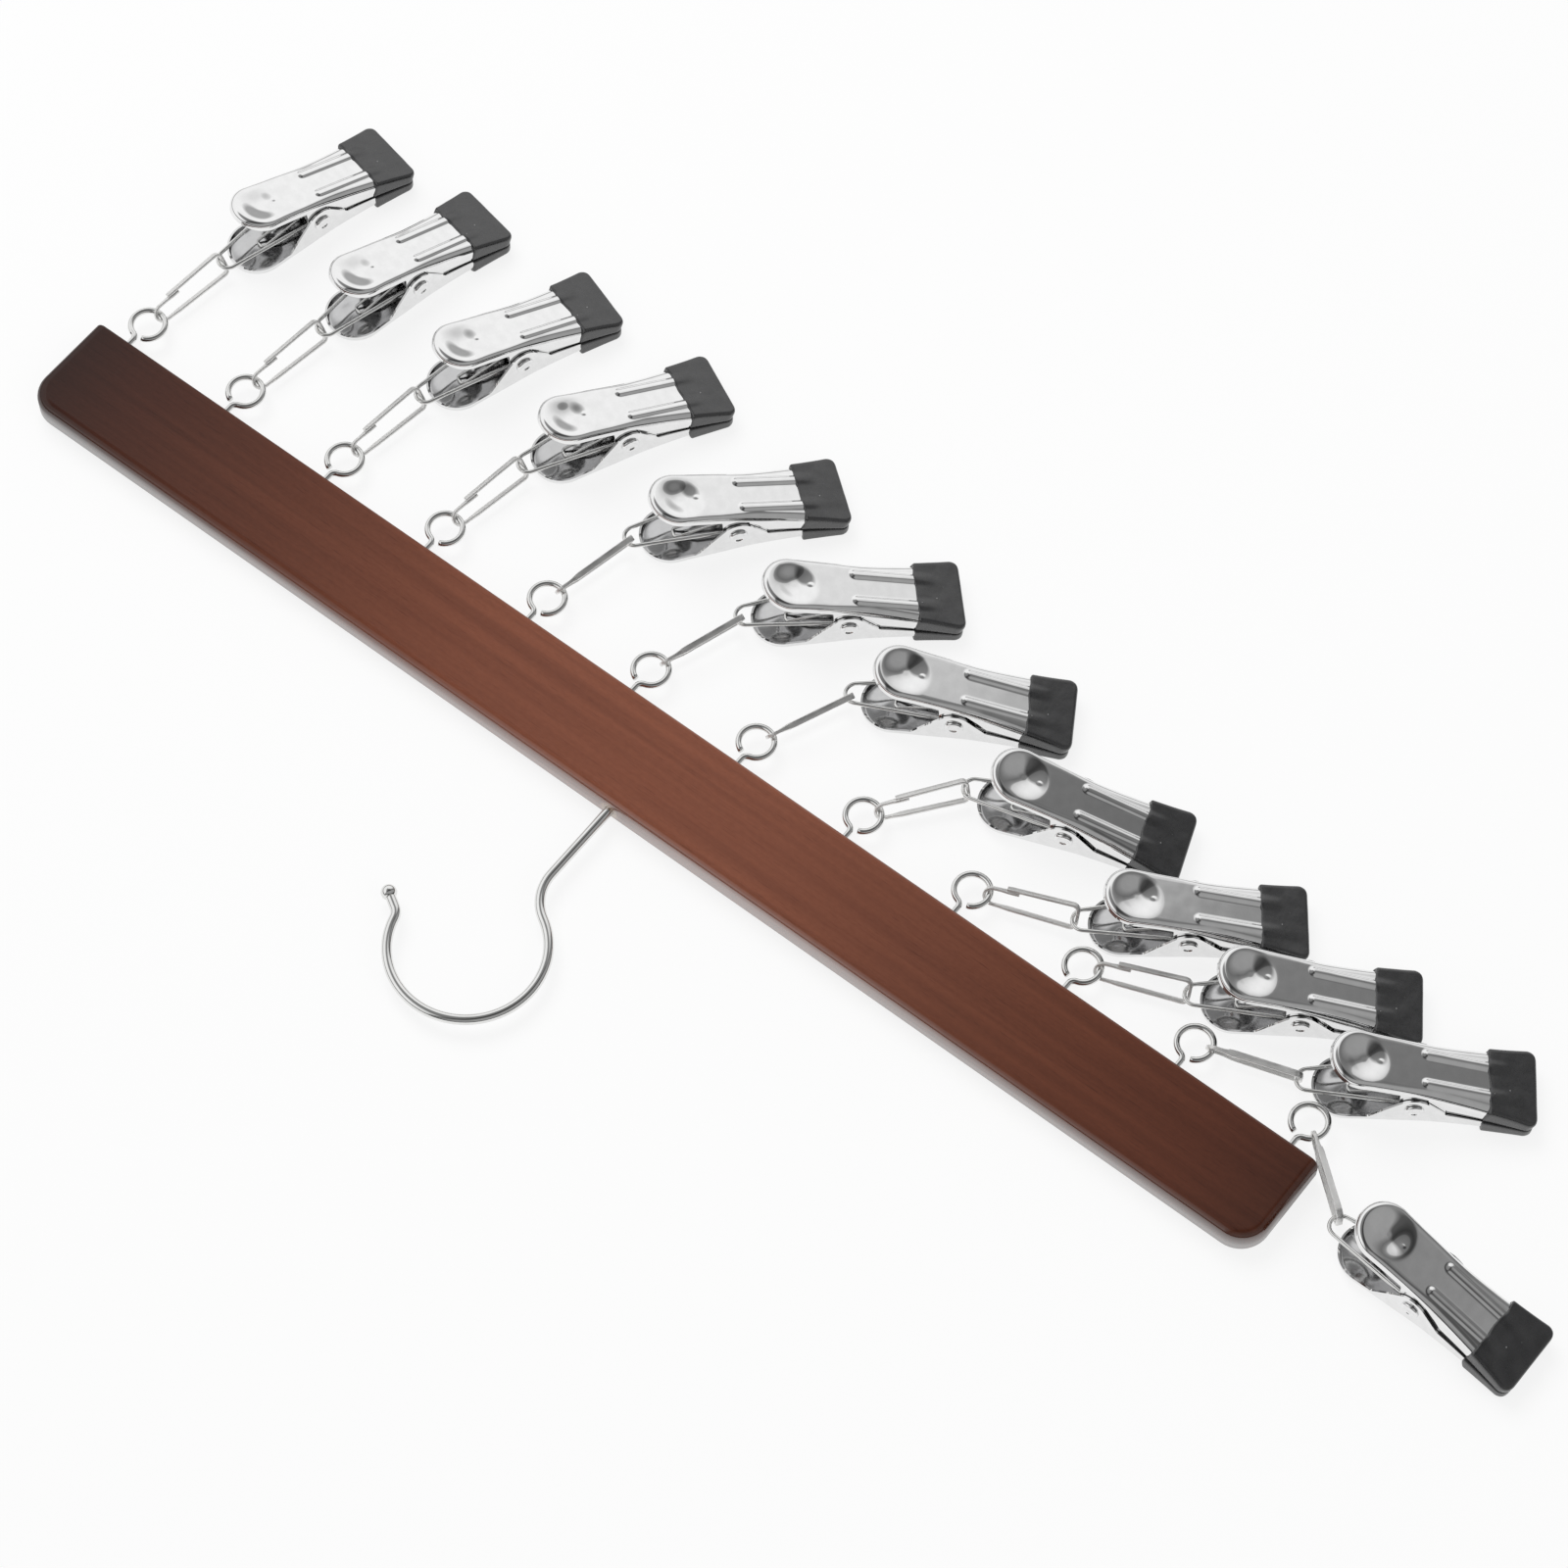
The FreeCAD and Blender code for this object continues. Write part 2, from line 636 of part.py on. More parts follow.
def build_bail():
    """The wire bail: an eye round the pin at each side and a narrow round head."""
    body = new_body("bail")
    eye_r = S.pin / 2 + S.bail_eye_wire / 2 + S.running_gap
    head = V(0, S.bail_head_r - S.bail_length, 0)
    start = V(-S.bail_pin_half, -eye_r, 0)
    lean, start, meet = outer_tangent(start, 0, head, S.bail_head_r)
    path = new_sketch(body, "XY", "bail_path")
    bend = math.degrees(math.atan2(meet.y - head.y, meet.x - head.x)) % 360
    add_line(path, start, meet)
    bow = add_arc(path, head, S.bail_head_r, bend, 540 - bend)
    add_line(path, V(-meet.x, meet.y, 0), V(-start.x, start.y, 0))
    join_ends(path)
    set_radius(path, bow, "dim.bail_head_r")
    wire_formula = "(dim.pin + dim.bail_eye_wire) / 2 + dim.running_gap"
    wire = new_sketch(body, "XZ", "bail_wire_round", wire_formula)
    add_circle(wire, V(start.x, 0, 0), "dim.bail_wire / 2", S.bail_wire / 2)
    doc.recompute()
    pipe(body, path, wire)
    for side in (-1, 1):
        loop = new_sketch(body, "YZ", "bail_loop", "%d * dim.bail_pin_half" % side)
        turn = add_arc(loop, V(0, 0, 0), eye_r, 0, S.bail_eye_turn)
        set_radius(loop, turn, wire_formula)
        wire = new_sketch(body, "XY", "bail_loop_round")
        place = V(side * S.bail_pin_half, eye_r, 0)
        add_circle(wire, place, "dim.bail_eye_wire / 2", S.bail_eye_wire / 2)
        doc.recompute()
        pipe(body, loop, wire)
    tilt = "asin(dim.bail_drop / dim.bail_length)"
    body.setExpression("Placement", "create(<<placement>>; create(<<vector>>; 0; 0; 0);"
                       " create(<<rotation>>; 0; 0; %s))" % tilt)
    doc.recompute()
    return body


def biarc(p, t, q, u):
    """Two arcs that leave p along t and reach q along u."""
    chord = q - p
    both = t + u
    spare = 2 * (1 - t.dot(u))
    along = chord.dot(both)
    reach = (-along + math.sqrt(along**2 + spare * chord.dot(chord))) / spare
    middle = (p + q + (t - u) * reach) * 0.5
    return [arc_from(p, t, middle), arc_from(q, u * -1, middle, True)]


def arc_from(start, heading, end, backwards=False):
    """An arc that leaves its start along a heading."""
    chord = end - start
    along = V(chord).normalize()
    bulge = heading - along * heading.dot(along)
    lean = math.atan2(bulge.Length, heading.dot(along))
    top = start + chord * 0.5 + bulge.normalize() * (chord.Length / 2 * math.tan(lean / 2))
    if backwards:
        start, end = end, start
    return Part.Arc(start, top, end).toShape()


def wind_angle(arm, height):
    """How far a coil's straight arm leans to end at a height off the pin."""
    return math.degrees(math.atan2(arm, S.spring_r)
                        - math.acos(height / math.hypot(S.spring_r, arm)))


def build_spring():
    """A double torsion spring: a tongue on the lower handle, two coils round the
    pin, and a leg from each coil up to the upper handle."""
    coil_r = S.spring_r
    wire_r = S.spring_wire / 2
    seat = S.pin_height - S.sheet - wire_r - S.spring_gap
    low = wind_angle(S.spring_tongue_length, seat - S.dimple_depth)
    high = wind_angle(S.spring_leg_length, seat) + S.jaw_spread
    first = low - 90
    total = 180 - low - high + 720

    def on_coil(turned):
        a = math.radians(first + turned)
        return V(0, coil_r * math.cos(a), coil_r * math.sin(a))

    def heading(turned, climb):
        a = math.radians(first + turned)
        return V(climb, -math.sin(a), math.cos(a)).normalize()

    quarters = int(round(total / 90))
    step = total / quarters
    slope = S.spring_pitch / (2 * math.pi * coil_r)
    rise = S.spring_pitch * step / 360
    x = S.spring_tongue_half
    tongue = on_coil(0) - heading(0, 0) * S.spring_tongue_length
    bend_r = S.spring_bend_r
    corner = V(x, tongue.y, tongue.z)
    enter = V(x - bend_r, tongue.y, tongue.z)
    leave = corner + heading(0, 0) * bend_r
    half = [Part.LineSegment(tongue, enter).toShape()]
    half.append(arc_from(enter, V(1, 0, 0), leave))
    place = on_coil(0) + V(x, 0, 0)
    half.append(Part.LineSegment(leave, place).toShape())
    along = heading(0, 0)
    for number in range(1, quarters + 1):
        ends = number in (1, quarters)
        x += rise * (0.5 if ends else 1.0)
        climb = 0 if number == quarters else slope
        next_place = on_coil(step * number) + V(x, 0, 0)
        next_along = heading(step * number, climb)
        half += biarc(place, along, next_place, next_along)
        place, along = next_place, next_along
    half.append(Part.LineSegment(place, place + along * S.spring_leg_length).toShape())
    across = [e.mirror(V(0, 0, 0), V(1, 0, 0)) for e in half]
    path = Part.Wire(Part.__sortEdges__(across + half))
    start = path.OrderedVertexes[0].Point
    run = path.OrderedEdges[0].tangentAt(path.OrderedEdges[0].FirstParameter)
    circle = Part.Wire(Part.Circle(start, run, wire_r).toShape())
    tube = Part.BRepOffsetAPI.MakePipeShell(path)
    tube.add(circle)
    tube.build()
    tube.makeSolid()
    spring = doc.addObject("Part::Feature", "spring")
    spring.Shape = tube.shape()
    print("spring: least gap to itself %.2f mm" % least_gap(path))
    return spring


def least_gap(path):
    """The clear space between stretches of the spring's wire that lie apart."""
    points = path.discretize(Distance=0.25)
    apart = int(S.spring_r * math.pi / 0.25)
    least = min(points[i].distanceToPoint(points[j])
                for i in range(len(points)) for j in range(i + apart, len(points)))
    return least - S.spring_wire


bar = build_bar()
hook = build_hook()
eye = build_eye()
link = build_link()
lower_waist = S.waist_half + S.sheet + S.ear_gap
upper_outline = Outline(S.waist_half)
lower_outline = Outline(lower_waist)
upper_shell = build_shell("upper_shell", upper_outline, S.upper_ear_r, "upper_ear_r", S.upper_notch)
lower_shell = build_shell("lower_shell", lower_outline, S.lower_ear_r, "lower_ear_r", S.lower_slope)
upper_tip = build_tip("upper_tip", upper_outline, upper_shell)
lower_tip = build_tip("lower_tip", lower_outline, lower_shell)
rivet = build_rivet(lower_outline)
bail = build_bail()
spring = build_spring()


def group(name, pieces):
    """Several solids that belong to one node."""
    node = doc.addObject("Part::Compound", name)
    node.Links = pieces
    return node


def place(node, x, y, z, turn):
    """Bind a node's place and its turn to the sheet."""
    vector = "create(<<vector>>; %s; %s; %s)" % (x, y, z)
    node.setExpression("Placement", "create(<<placement>>; %s; %s)" % (vector, turn))


def rotation(yaw, pitch, roll):
    return "create(<<rotation>>; %s; %s; %s)" % (yaw, pitch, roll)


def eye_x(number):
    return "(%g * dim.eye_pitch)" % (number - (CLIPS + 1) / 2)


EYE_Y = "dim.bar_width / 2"
RING_Y = "dim.bar_width / 2 + dim.eye_offset"
MIDDLE_Z = "dim.bar_thick / 2"
PIN_Z = "(dim.pin_height + dim.dip_skin + dim.rib_height)"
LINK_RISE = "(%s - dim.bail_drop - %s)" % (PIN_Z, MIDDLE_Z)
LINK_RUN = "sqrt(dim.link_length ^ 2 - %s ^ 2)" % LINK_RISE
HEAD_RUN = "(%s + dim.bail_head_r)" % LINK_RUN
BAIL_RUN = "(sqrt(dim.bail_length ^ 2 - dim.bail_drop ^ 2) - dim.bail_head_r)"
LINK_TILT = "asin(%s / dim.link_length)" % LINK_RISE

screws = []
for number in range(1, CLIPS + 1):
    screw = group("screw_eye_%02d" % number, [eye])
    flip = 180 if number in FLIPPED_EYES else 0
    place(screw, eye_x(number), EYE_Y, MIDDLE_Z, rotation(0, flip, 0))
    screws.append(screw)
screw_eyes = group("screw_eyes", screws)

lower_pressing = group("lower_pressing", [lower_shell, lower_tip])
place(lower_pressing, 0, 0, 0, rotation(0, 180, 0))

nodes = [bar, screw_eyes, hook]
for number in range(1, CLIPS + 1):
    tag = "%02d" % number
    link_yaw = "(dim.link_yaw_%s * 1 deg)" % tag
    clip_yaw = "(dim.clip_yaw_%s * 1 deg)" % tag
    link_roll = "dim.link_roll_%s" % tag
    link_x = "%s + dim.eye_ring_r * sin(%s)" % (eye_x(number), link_yaw)
    link_y = "%s + dim.eye_ring_r * cos(%s)" % (RING_Y, link_yaw)
    turn = "%s * %s" % (rotation("-" + link_yaw, 0, LINK_TILT), rotation(0, link_roll, 0))
    chain = group("link_" + tag, [link])
    place(chain, link_x, link_y, MIDDLE_Z, turn)
    pin_x = "%s + %s * sin(%s) + %s * sin(%s)" % (link_x, HEAD_RUN, link_yaw, BAIL_RUN, clip_yaw)
    pin_y = "%s + %s * cos(%s) + %s * cos(%s)" % (link_y, HEAD_RUN, link_yaw, BAIL_RUN, clip_yaw)
    flat = rotation("-" + clip_yaw, 0, 0)
    lower = group("lower_jaw_" + tag, [lower_pressing, rivet, bail])
    place(lower, pin_x, pin_y, PIN_Z, flat)
    upper = group("upper_jaw_" + tag, [upper_shell, upper_tip])
    place(upper, pin_x, pin_y, PIN_Z, rotation("-" + clip_yaw, 0, "-dim.jaw_spread"))
    coil = group("spring_" + tag, [spring])
    place(coil, pin_x, pin_y, PIN_Z, flat)
    nodes += [chain, lower, coil, upper]

doc.recompute()
for item in doc.Objects:
    if "Invalid" in item.State or "Error" in item.State:
        raise RuntimeError(item.Name + " did not build")
os.makedirs("parts", exist_ok=True)
for node in nodes:
    if node.Shape.isNull() or not node.Shape.isValid():
        raise RuntimeError(node.Label + " has no valid shape")
    node.Shape.exportStep("parts/%s.step" % node.Label)
    print(node.Label, len(node.Shape.Solids), round(node.Shape.Volume, 2))
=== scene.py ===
import json
import math
import bmesh
import bpy
from mathutils import Matrix, Vector, noise


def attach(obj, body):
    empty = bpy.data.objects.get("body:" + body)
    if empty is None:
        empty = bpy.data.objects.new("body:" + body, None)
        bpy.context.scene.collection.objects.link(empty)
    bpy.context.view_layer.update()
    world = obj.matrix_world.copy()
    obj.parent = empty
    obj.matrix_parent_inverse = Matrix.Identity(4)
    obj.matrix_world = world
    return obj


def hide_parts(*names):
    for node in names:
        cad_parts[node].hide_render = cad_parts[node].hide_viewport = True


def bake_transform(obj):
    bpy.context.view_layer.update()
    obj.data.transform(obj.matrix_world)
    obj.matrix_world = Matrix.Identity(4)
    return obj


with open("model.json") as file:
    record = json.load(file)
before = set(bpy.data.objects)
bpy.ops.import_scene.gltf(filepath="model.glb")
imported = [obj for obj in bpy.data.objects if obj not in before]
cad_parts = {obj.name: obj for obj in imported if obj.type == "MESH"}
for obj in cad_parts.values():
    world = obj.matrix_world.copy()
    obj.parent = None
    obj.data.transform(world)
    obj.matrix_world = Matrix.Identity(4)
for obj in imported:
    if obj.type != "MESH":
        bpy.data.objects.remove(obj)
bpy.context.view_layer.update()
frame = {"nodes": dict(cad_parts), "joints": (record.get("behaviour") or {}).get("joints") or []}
scene = bpy.context.scene
scene.view_settings.view_transform = "Standard"

MM = 0.001
TAGS = ["%02d" % number for number in range(1, 13)]
JOINTS = {joint["name"]: joint for joint in frame["joints"]}

# Sizes are in millimetres and angles in degrees. What Blender is given is in metres.

# Bar and screw eyes
BAR_HALF = 16.25
BAR_THICK = 10.0
EYE_PLATING = 0.14
EYE_PLATING_FADE = 2.0
EYE_WELD = 0.002

# Clip shells, in the clip's own frame: the rivet runs along X through the origin,
# the jaws point to +Y and each shell's plate faces away from the other shell
SHEET = 0.6
PLATE = 8.0
SPREAD = 18.0
HANDLE = 27.2
JAW = 32.4
WAIST_BACK = 6.0
UPPER_WAIST = 8.1
LOWER_WAIST = 8.9
UPPER_EAR = 4.2
LOWER_EAR = 5.2
UPPER_SLOPE = 6.5
LOWER_SLOPE = 12.0
TIP_HALF = 11.2
TIP_CORNER = 2.4
PRESS_HANDLE = 1.5
PRESS_JAW = 2.4
PRESS_CHANGE = (-9, 6)
RIM = 2.6
JAW_GAP = 0.25
JAW_SLOPE = math.tan(math.radians(SPREAD / 2))

# Thumb dish with its pip, and ribs
DISH_R = 6.3
DISH_DEPTH = 1.2
DISH_BACK = 17.9
DISH_FLOOR = 0.10 * DISH_R
DISH_BRIM = 1.22 * DISH_R
PIP_R = 0.9
PIP_CROWN = 0.1
PIP_RISE = 0.10
PIP_BACK = 13.2
RIB_X = 4.3
RIB_RISE = 0.5
RIB_START = 0.4
RIB_CREST = 0.50
RIB_FOOT = 1.70

# Half of the plate's columns, closest over the pip and the flanks of the ribs
PLATE_COLUMNS = [0, 0.25, 0.5, 0.75, 1.0, 1.4, 1.8, 2.2, 2.55, 2.8, 3.0, 3.2, 3.45, 3.8, 4.3, 4.75, 5.1,
                 5.35, 5.6, 5.85]
PLATE_BORDER = 0.965

# Dipped tips
DIP_LINE = 18.6
DIP_TUCK = 3.0
DIP_EDGE = 0.55
DIP_THINNING = 0.46
DIP_ROUND = 1.1
DIP_GAP = 0.15
DIP_LIP = 0.35
SKIN = 0.5
CORNER_LEAN = 0.5
CROWN_FADE = 1.2
TIP_COLUMNS = 44
TIP_SHAPES = 4
TIP_STEP = 3
RIB_LUMP = 0.30
RIB_LUMP_WIDTH = (0.4, 2.4)
RIB_LUMP_END = (20.5, 26.0)
EDGE_LUMP_SHARE = 0.9
SKIN_LUMP = 0.10
SKIN_LUMP_SCALE = 0.22
SKIN_SEED_STEP = 7
EDGE_WAVE = 0.60
EDGE_PULL = 0.25
EDGE_PULL_WIDTH = (0.4, 2.6)
EDGE_WAVE_REACH = 5.5
EDGE_WAVE_SCALE = (0.20, 0.3)
EDGE_SEED_STEP = 3.7
EDGE_SEED_START = 4.2

# Rivet, spring and link
PIN_R = 1.5
RIVET_HEAD = 2.75
RIVET_GAP = 0.06
RIVET_RISE = 0.7
SPRING_WIRE_R = 0.45
LINK_LENGTH = 23.8
LINK_ROLL = [62, 60, 60, 60, 112, 112, 116, 70, 60, 60, 105, 92]


def smooth(low, high, value):
    t = min(1.0, max(0.0, (value - low) / (high - low)))
    return t * t * (3.0 - 2.0 * t)


def mix(a, b, t):
    return a + (b - a) * t


# Node trees

WHITE = (1.0, 1.0, 1.0)


class Nodes:
    """A node tree, built in a few short calls."""

    def __init__(self, tree):
        self.tree = tree

    def add(self, kind, **settings):
        node = self.tree.nodes.new("ShaderNode" + kind)
        for key, value in settings.items():
            if key in node.inputs:
                node.inputs[key].default_value = value
            else:
                setattr(node, key, value)
        return node

    def link(self, out, into):
        self.tree.links.new(out, into)

    def feed(self, value, socket):
        """Links a socket to another one, or sets it to a plain value."""
        if isinstance(value, bpy.types.NodeSocket):
            self.link(value, socket)
        else:
            socket.default_value = value

    def ramp(self, value, *stops):
        """A colour ramp. Each stop has a position and a colour or a grey level."""
        node = self.add("ValToRGB")
        elements = node.color_ramp.elements
        while len(elements) < len(stops):
            elements.new(0.5)
        for element, (position, colour) in zip(elements, stops):
            element.position = position
            element.color = (colour,) * 3 + (1,) if isinstance(colour, float) else tuple(colour) + (1,)
        self.link(value, node.inputs["Fac"])
        return node.outputs["Color"]

    def mixed(self, mode, factor, a, b):
        node = self.add("Mix", data_type="RGBA", blend_type=mode)
        self.feed(factor, node.inputs[0])
        self.feed(a, node.inputs[6])
        self.feed(b, node.inputs[7])
        return node.outputs[2]

    def maths(self, operation, a, b=0.0, c=0.0):
        node = self.add("Math", operation=operation)
        for value, socket in zip((a, b, c), node.inputs):
            self.feed(value, socket)
        return node.outputs[0]


class Material(Nodes):
    """A new material and its shader."""

    def __init__(self, name):
        self.material = bpy.data.materials.new(name)
        self.material.use_nodes = True
        super().__init__(self.material.node_tree)
        self.shader = self.tree.nodes["Principled BSDF"]

    def set(self, **values):
        for key, value in values.items():
            self.shader.inputs[key.replace("_", " ")].default_value = value

    def drive(self, name, value):
        """Links one of the shader's inputs."""
        self.link(value, self.shader.inputs[name])

    def place(self, scale=(1, 1, 1)):
        """Object coordinates, stretched."""
        where = self.add("TexCoord")
        mapping = self.add("Mapping", Scale=scale)
        self.link(where.outputs["Object"], mapping.inputs["Vector"])
        return mapping.outputs["Vector"]

    def noise(self, vector, scale=1.0, detail=3.0, roughness=0.5, distortion=0.0):
        node = self.add("TexNoise", Scale=scale, Detail=detail, Roughness=roughness, Distortion=distortion)
        self.link(vector, node.inputs["Vector"])
        return node.outputs["Fac"]

    def bump(self, height, distance, strength=1.0, after=None):
        """A bump of so many millimetres, on top of another one if there is one."""
        node = self.add("Bump", Strength=strength, Distance=distance * MM)
        self.link(height, node.inputs["Height"])
        if after:
            self.link(after, node.inputs["Normal"])
        return node.outputs["Normal"]


# Materials

def wood_lacquer(m, along, split):
    """Satin lacquer, thinner towards the ends and glossier down the hook-side edge."""
    coat_ior = 1.65
    edge_ior_gain = 3.6
    side_span = 50.0
    film = m.ramp(along, (0.02, 0.44), (0.20, 0.46), (0.30, 0.56), (0.42, 0.80), (0.58, 1.0), (0.72, 0.94),
                  (0.84, 0.74), (0.98, 0.70))
    height = m.maths("MULTIPLY", split.outputs["Z"], 1 / (BAR_THICK * MM))
    below_top = m.ramp(height, (0.45, 1.0), (0.70, 0.7), (0.95, 0.0))
    across = m.maths("MULTIPLY_ADD", split.outputs["Y"], 1 / (side_span * MM), 0.5)
    hook_side = m.ramp(across, (0.45, 1.0), (0.65, 0.0))
    edge_gloss = m.maths("MULTIPLY", below_top, hook_side)
    m.drive("Coat Weight", m.maths("MAXIMUM", film, edge_gloss))
    m.drive("Coat IOR", m.maths("MULTIPLY_ADD", edge_gloss, edge_ior_gain, coat_ior))


def wood_material():
    """Dark red-brown stain under satin lacquer, with fine lengthwise grain."""
    stain = ((0.188, 0.055, 0.027), (0.238, 0.073, 0.036))
    shade_span = 440.0
    hole_ring_tan = (0.42, 0.27, 0.17, 1)
    hook_hole = (0, -BAR_HALF * MM, BAR_THICK / 2 * MM)
    hole_ring_r = 6.0
    hole_ring_ragged = 1.6
    m = Material("stained_wood")
    m.set(IOR=1.45, Specular_IOR_Level=0.0, Coat_Roughness=0.12)
    fine = m.noise(m.place((9, 420, 420)), detail=6.0, roughness=0.62, distortion=0.15)
    broad = m.noise(m.place((5, 70, 70)), distortion=0.6)
    pores = m.noise(m.place((110, 2600, 2600)), detail=2.0)
    mottle = m.noise(m.place((500, 900, 900)), roughness=0.6)
    where = m.add("TexCoord")
    split = m.add("SeparateXYZ")
    m.link(where.outputs["Object"], split.inputs[0])
    along = m.maths("MULTIPLY_ADD", split.outputs["X"], 1 / (shade_span * MM), 0.5)

    streaks = m.ramp(fine, (0.30, (0.62, 0.58, 0.56)), (0.62, WHITE))
    patches = m.ramp(mottle, (0.30, (0.80, 0.78, 0.76)), (0.70, WHITE))
    dots = m.ramp(pores, (0.62, WHITE), (0.72, (0.55, 0.5, 0.5)))
    # Painted shade and light: the stain darkens towards both ends of the bar and is lightest in the middle,
    # where the light falls.
    painted_end_shade = m.ramp(along, (0.0, (0.12, 0.13, 0.17)), (0.07, (0.29, 0.28, 0.30)),
                       (0.23, (0.62, 0.62, 0.64)), (0.36, (0.91, 0.91, 0.92)), (0.50, WHITE),
                       (0.60, (0.96, 0.96, 0.96)), (0.77, (0.66, 0.64, 0.62)), (0.93, (0.45, 0.42, 0.42)),
                       (1.0, (0.28, 0.28, 0.30)))
    colour = m.ramp(broad, (0.25, stain[0]), (0.75, stain[1]))
    for share, darker in ((0.55, streaks), (0.6, patches), (0.6, dots), (1.0, painted_end_shade)):
        colour = m.mixed("MULTIPLY", share, colour, darker)

    # A paler tan ring round the hook's hole, with a ragged edge.
    away = m.add("VectorMath", operation="DISTANCE")
    m.link(where.outputs["Object"], away.inputs[0])
    away.inputs[1].default_value = hook_hole
    ragged = m.maths("MULTIPLY", m.noise(m.place((700, 700, 700)), detail=2.0), hole_ring_ragged * MM)
    edge = m.maths("ADD", away.outputs["Value"], ragged)
    hole_ring = m.ramp(m.maths("DIVIDE", edge, hole_ring_r * MM), (0.52, 1.0), (0.72, 0.0))
    m.drive("Base Color", m.mixed("MIX", hole_ring, colour, hole_ring_tan))
    m.drive("Roughness", m.ramp(fine, (0.3, 0.42), (0.7, 0.34)))
    m.drive("Normal", m.bump(m.mixed("MIX", 0.4, fine, pores), 0.06, 0.6))
    wood_lacquer(m, along, split)
    return m.material


def metal_material(name, colour, roughness, wave=0.0, wave_scale=0.0, scratch=0.0):
    """Plated metal: faint hand marks in its gloss and a slight unevenness of the pressing."""
    duller = 0.94
    smoother, rougher = 0.75, 1.35
    m = Material(name)
    m.set(Metallic=1.0)
    tone = m.noise(m.place(), 260.0, 4.0, 0.6)
    m.drive("Base Color", m.ramp(tone, (0.35, tuple(c * duller for c in colour)), (0.65, colour)))
    marks = m.noise(m.place((900, 160, 900)), detail=5.0, roughness=0.65)
    m.drive("Roughness", m.ramp(marks, (0.35, roughness * smoother), (0.75, roughness * rougher)))
    normal = None
    if wave:
        normal = m.bump(m.noise(m.place(), wave_scale, 2.0, 0.45), wave)
    if scratch:
        lines = m.noise(m.place((2600, 260, 2600)), roughness=0.6)
        normal = m.bump(lines, scratch, after=normal)
    if normal:
        m.drive("Normal", normal)
    return m.material


def vinyl_material():
    """Dipped black vinyl: satin skin, slight flow marks and a few dust specks."""
    m = Material("black_vinyl")
    m.set(IOR=1.8, Specular_IOR_Level=0.5)
    cloud = m.noise(m.place(), 190.0)
    colour = m.ramp(cloud, (0.3, (0.013, 0.013, 0.014)), (0.7, (0.021, 0.021, 0.022)))
    spots = m.add("TexVoronoi", Scale=520.0, feature="F1")
    m.link(m.place(), spots.inputs["Vector"])
    speck = m.ramp(spots.outputs["Distance"], (0.06, 1.0), (0.10, 0.0))
    chosen = m.add("SeparateColor")
    m.link(spots.outputs["Color"], chosen.inputs[0])
    rare = m.ramp(chosen.outputs[0], (0.90, 0.0), (0.92, 1.0))
    dust = m.maths("MULTIPLY", speck, rare)
    m.drive("Base Color", m.mixed("MIX", dust, colour, (0.34, 0.34, 0.34, 1)))
    grain = m.noise(m.place(), 900.0, roughness=0.55)
    m.drive("Roughness", m.ramp(grain, (0.3, 0.24), (0.7, 0.34)))
    flow = m.bump(m.noise(m.place(), 210.0, 2.0), 0.14, 0.8)
    m.drive("Normal", m.bump(grain, 0.008, 0.7, flow))
    return m.material


WOOD = wood_material()
CHROME = metal_material("clip_chrome", (0.88, 0.88, 0.88), 0.045, 0.05, 70.0)
# Painted shade: the shells' inner faces get a darker metal, which stands in for the shadowed inside of the
# clip; its higher roughness dulls them too.
SHADED_INNER_CHROME = metal_material("shaded_inner_chrome", (0.58, 0.58, 0.585), 0.14)
HOOK_CHROME = metal_material("hook_chrome", (0.82, 0.82, 0.81), 0.07, 0.02, 220.0)
EYE_NICKEL = metal_material("eye_nickel", (0.80, 0.80, 0.79), 0.08, 0.03, 300.0)
LINK_NICKEL = metal_material("link_nickel", (0.90, 0.897, 0.885), 0.48, 0.02, 500.0, 0.01)
WIRE = metal_material("plated_wire", (0.79, 0.79, 0.78), 0.09, 0.02, 400.0)
VINYL = vinyl_material()


# Mesh helpers

def new_mesh(name, points, faces, material, sharp=38.0):
    """A smooth mesh with sharp edges past an angle, from points in millimetres."""
    mesh = bpy.data.meshes.new(name)
    mesh.from_pydata([(x * MM, y * MM, z * MM) for x, y, z in points], [], faces)
    mesh.validate()
    mesh.materials.append(material)
    mesh.shade_smooth()
    mesh.set_sharp_from_angle(angle=math.radians(sharp))
    return mesh


def add_object(name, mesh, matrix=None):
    piece = bpy.data.objects.new(name, mesh)
    scene.collection.objects.link(piece)
    if matrix:
        piece.matrix_world = matrix
    return piece


def tube(path, radius, sides=14, closed=False):
    """Points and faces of a round wire along a path."""
    spine = [Vector(p) for p in path]
    count = len(spine)
    points, faces = [], []
    side = None
    for i, place in enumerate(spine):
        before = spine[i - 1] if i or closed else spine[0]
        after = spine[(i + 1) % count] if i < count - 1 or closed else spine[-1]
        along = (after - before).normalized()
        if side is None:
            side = along.orthogonal().normalized()
        side = (side - along * side.dot(along)).normalized()
        other = along.cross(side)
        for k in range(sides):
            a = 2 * math.pi * k / sides
            points.append(place + (side * math.cos(a) + other * math.sin(a)) * radius)
    for i in range(count if closed else count - 1):
        j = (i + 1) % count
        for k in range(sides):
            n = (k + 1) % sides
            faces.append((i * sides + k, i * sides + n, j * sides + n, j * sides + k))
    if not closed:
        faces.append(tuple(reversed(range(sides))))
        faces.append(tuple(range((count - 1) * sides, count * sides)))
    return points, faces


def merged(*parts):
    """Several sets of points and faces as one."""
    points, faces = [], []
    for part_points, part_faces in parts:
        first = len(points)
        points += part_points
        faces += [tuple(first + i for i in face) for face in part_faces]
    return points, faces


def arc(centre, radius, first, last, steps):
    """Points of a flat arc, in the plane of X and Y."""
    turn = [math.radians(mix(first, last, i / steps)) for i in range(steps + 1)]
    return [Vector((centre[0] + radius * math.cos(a), centre[1] + radius * math.sin(a), 0)) for a in turn]


# Clip shells

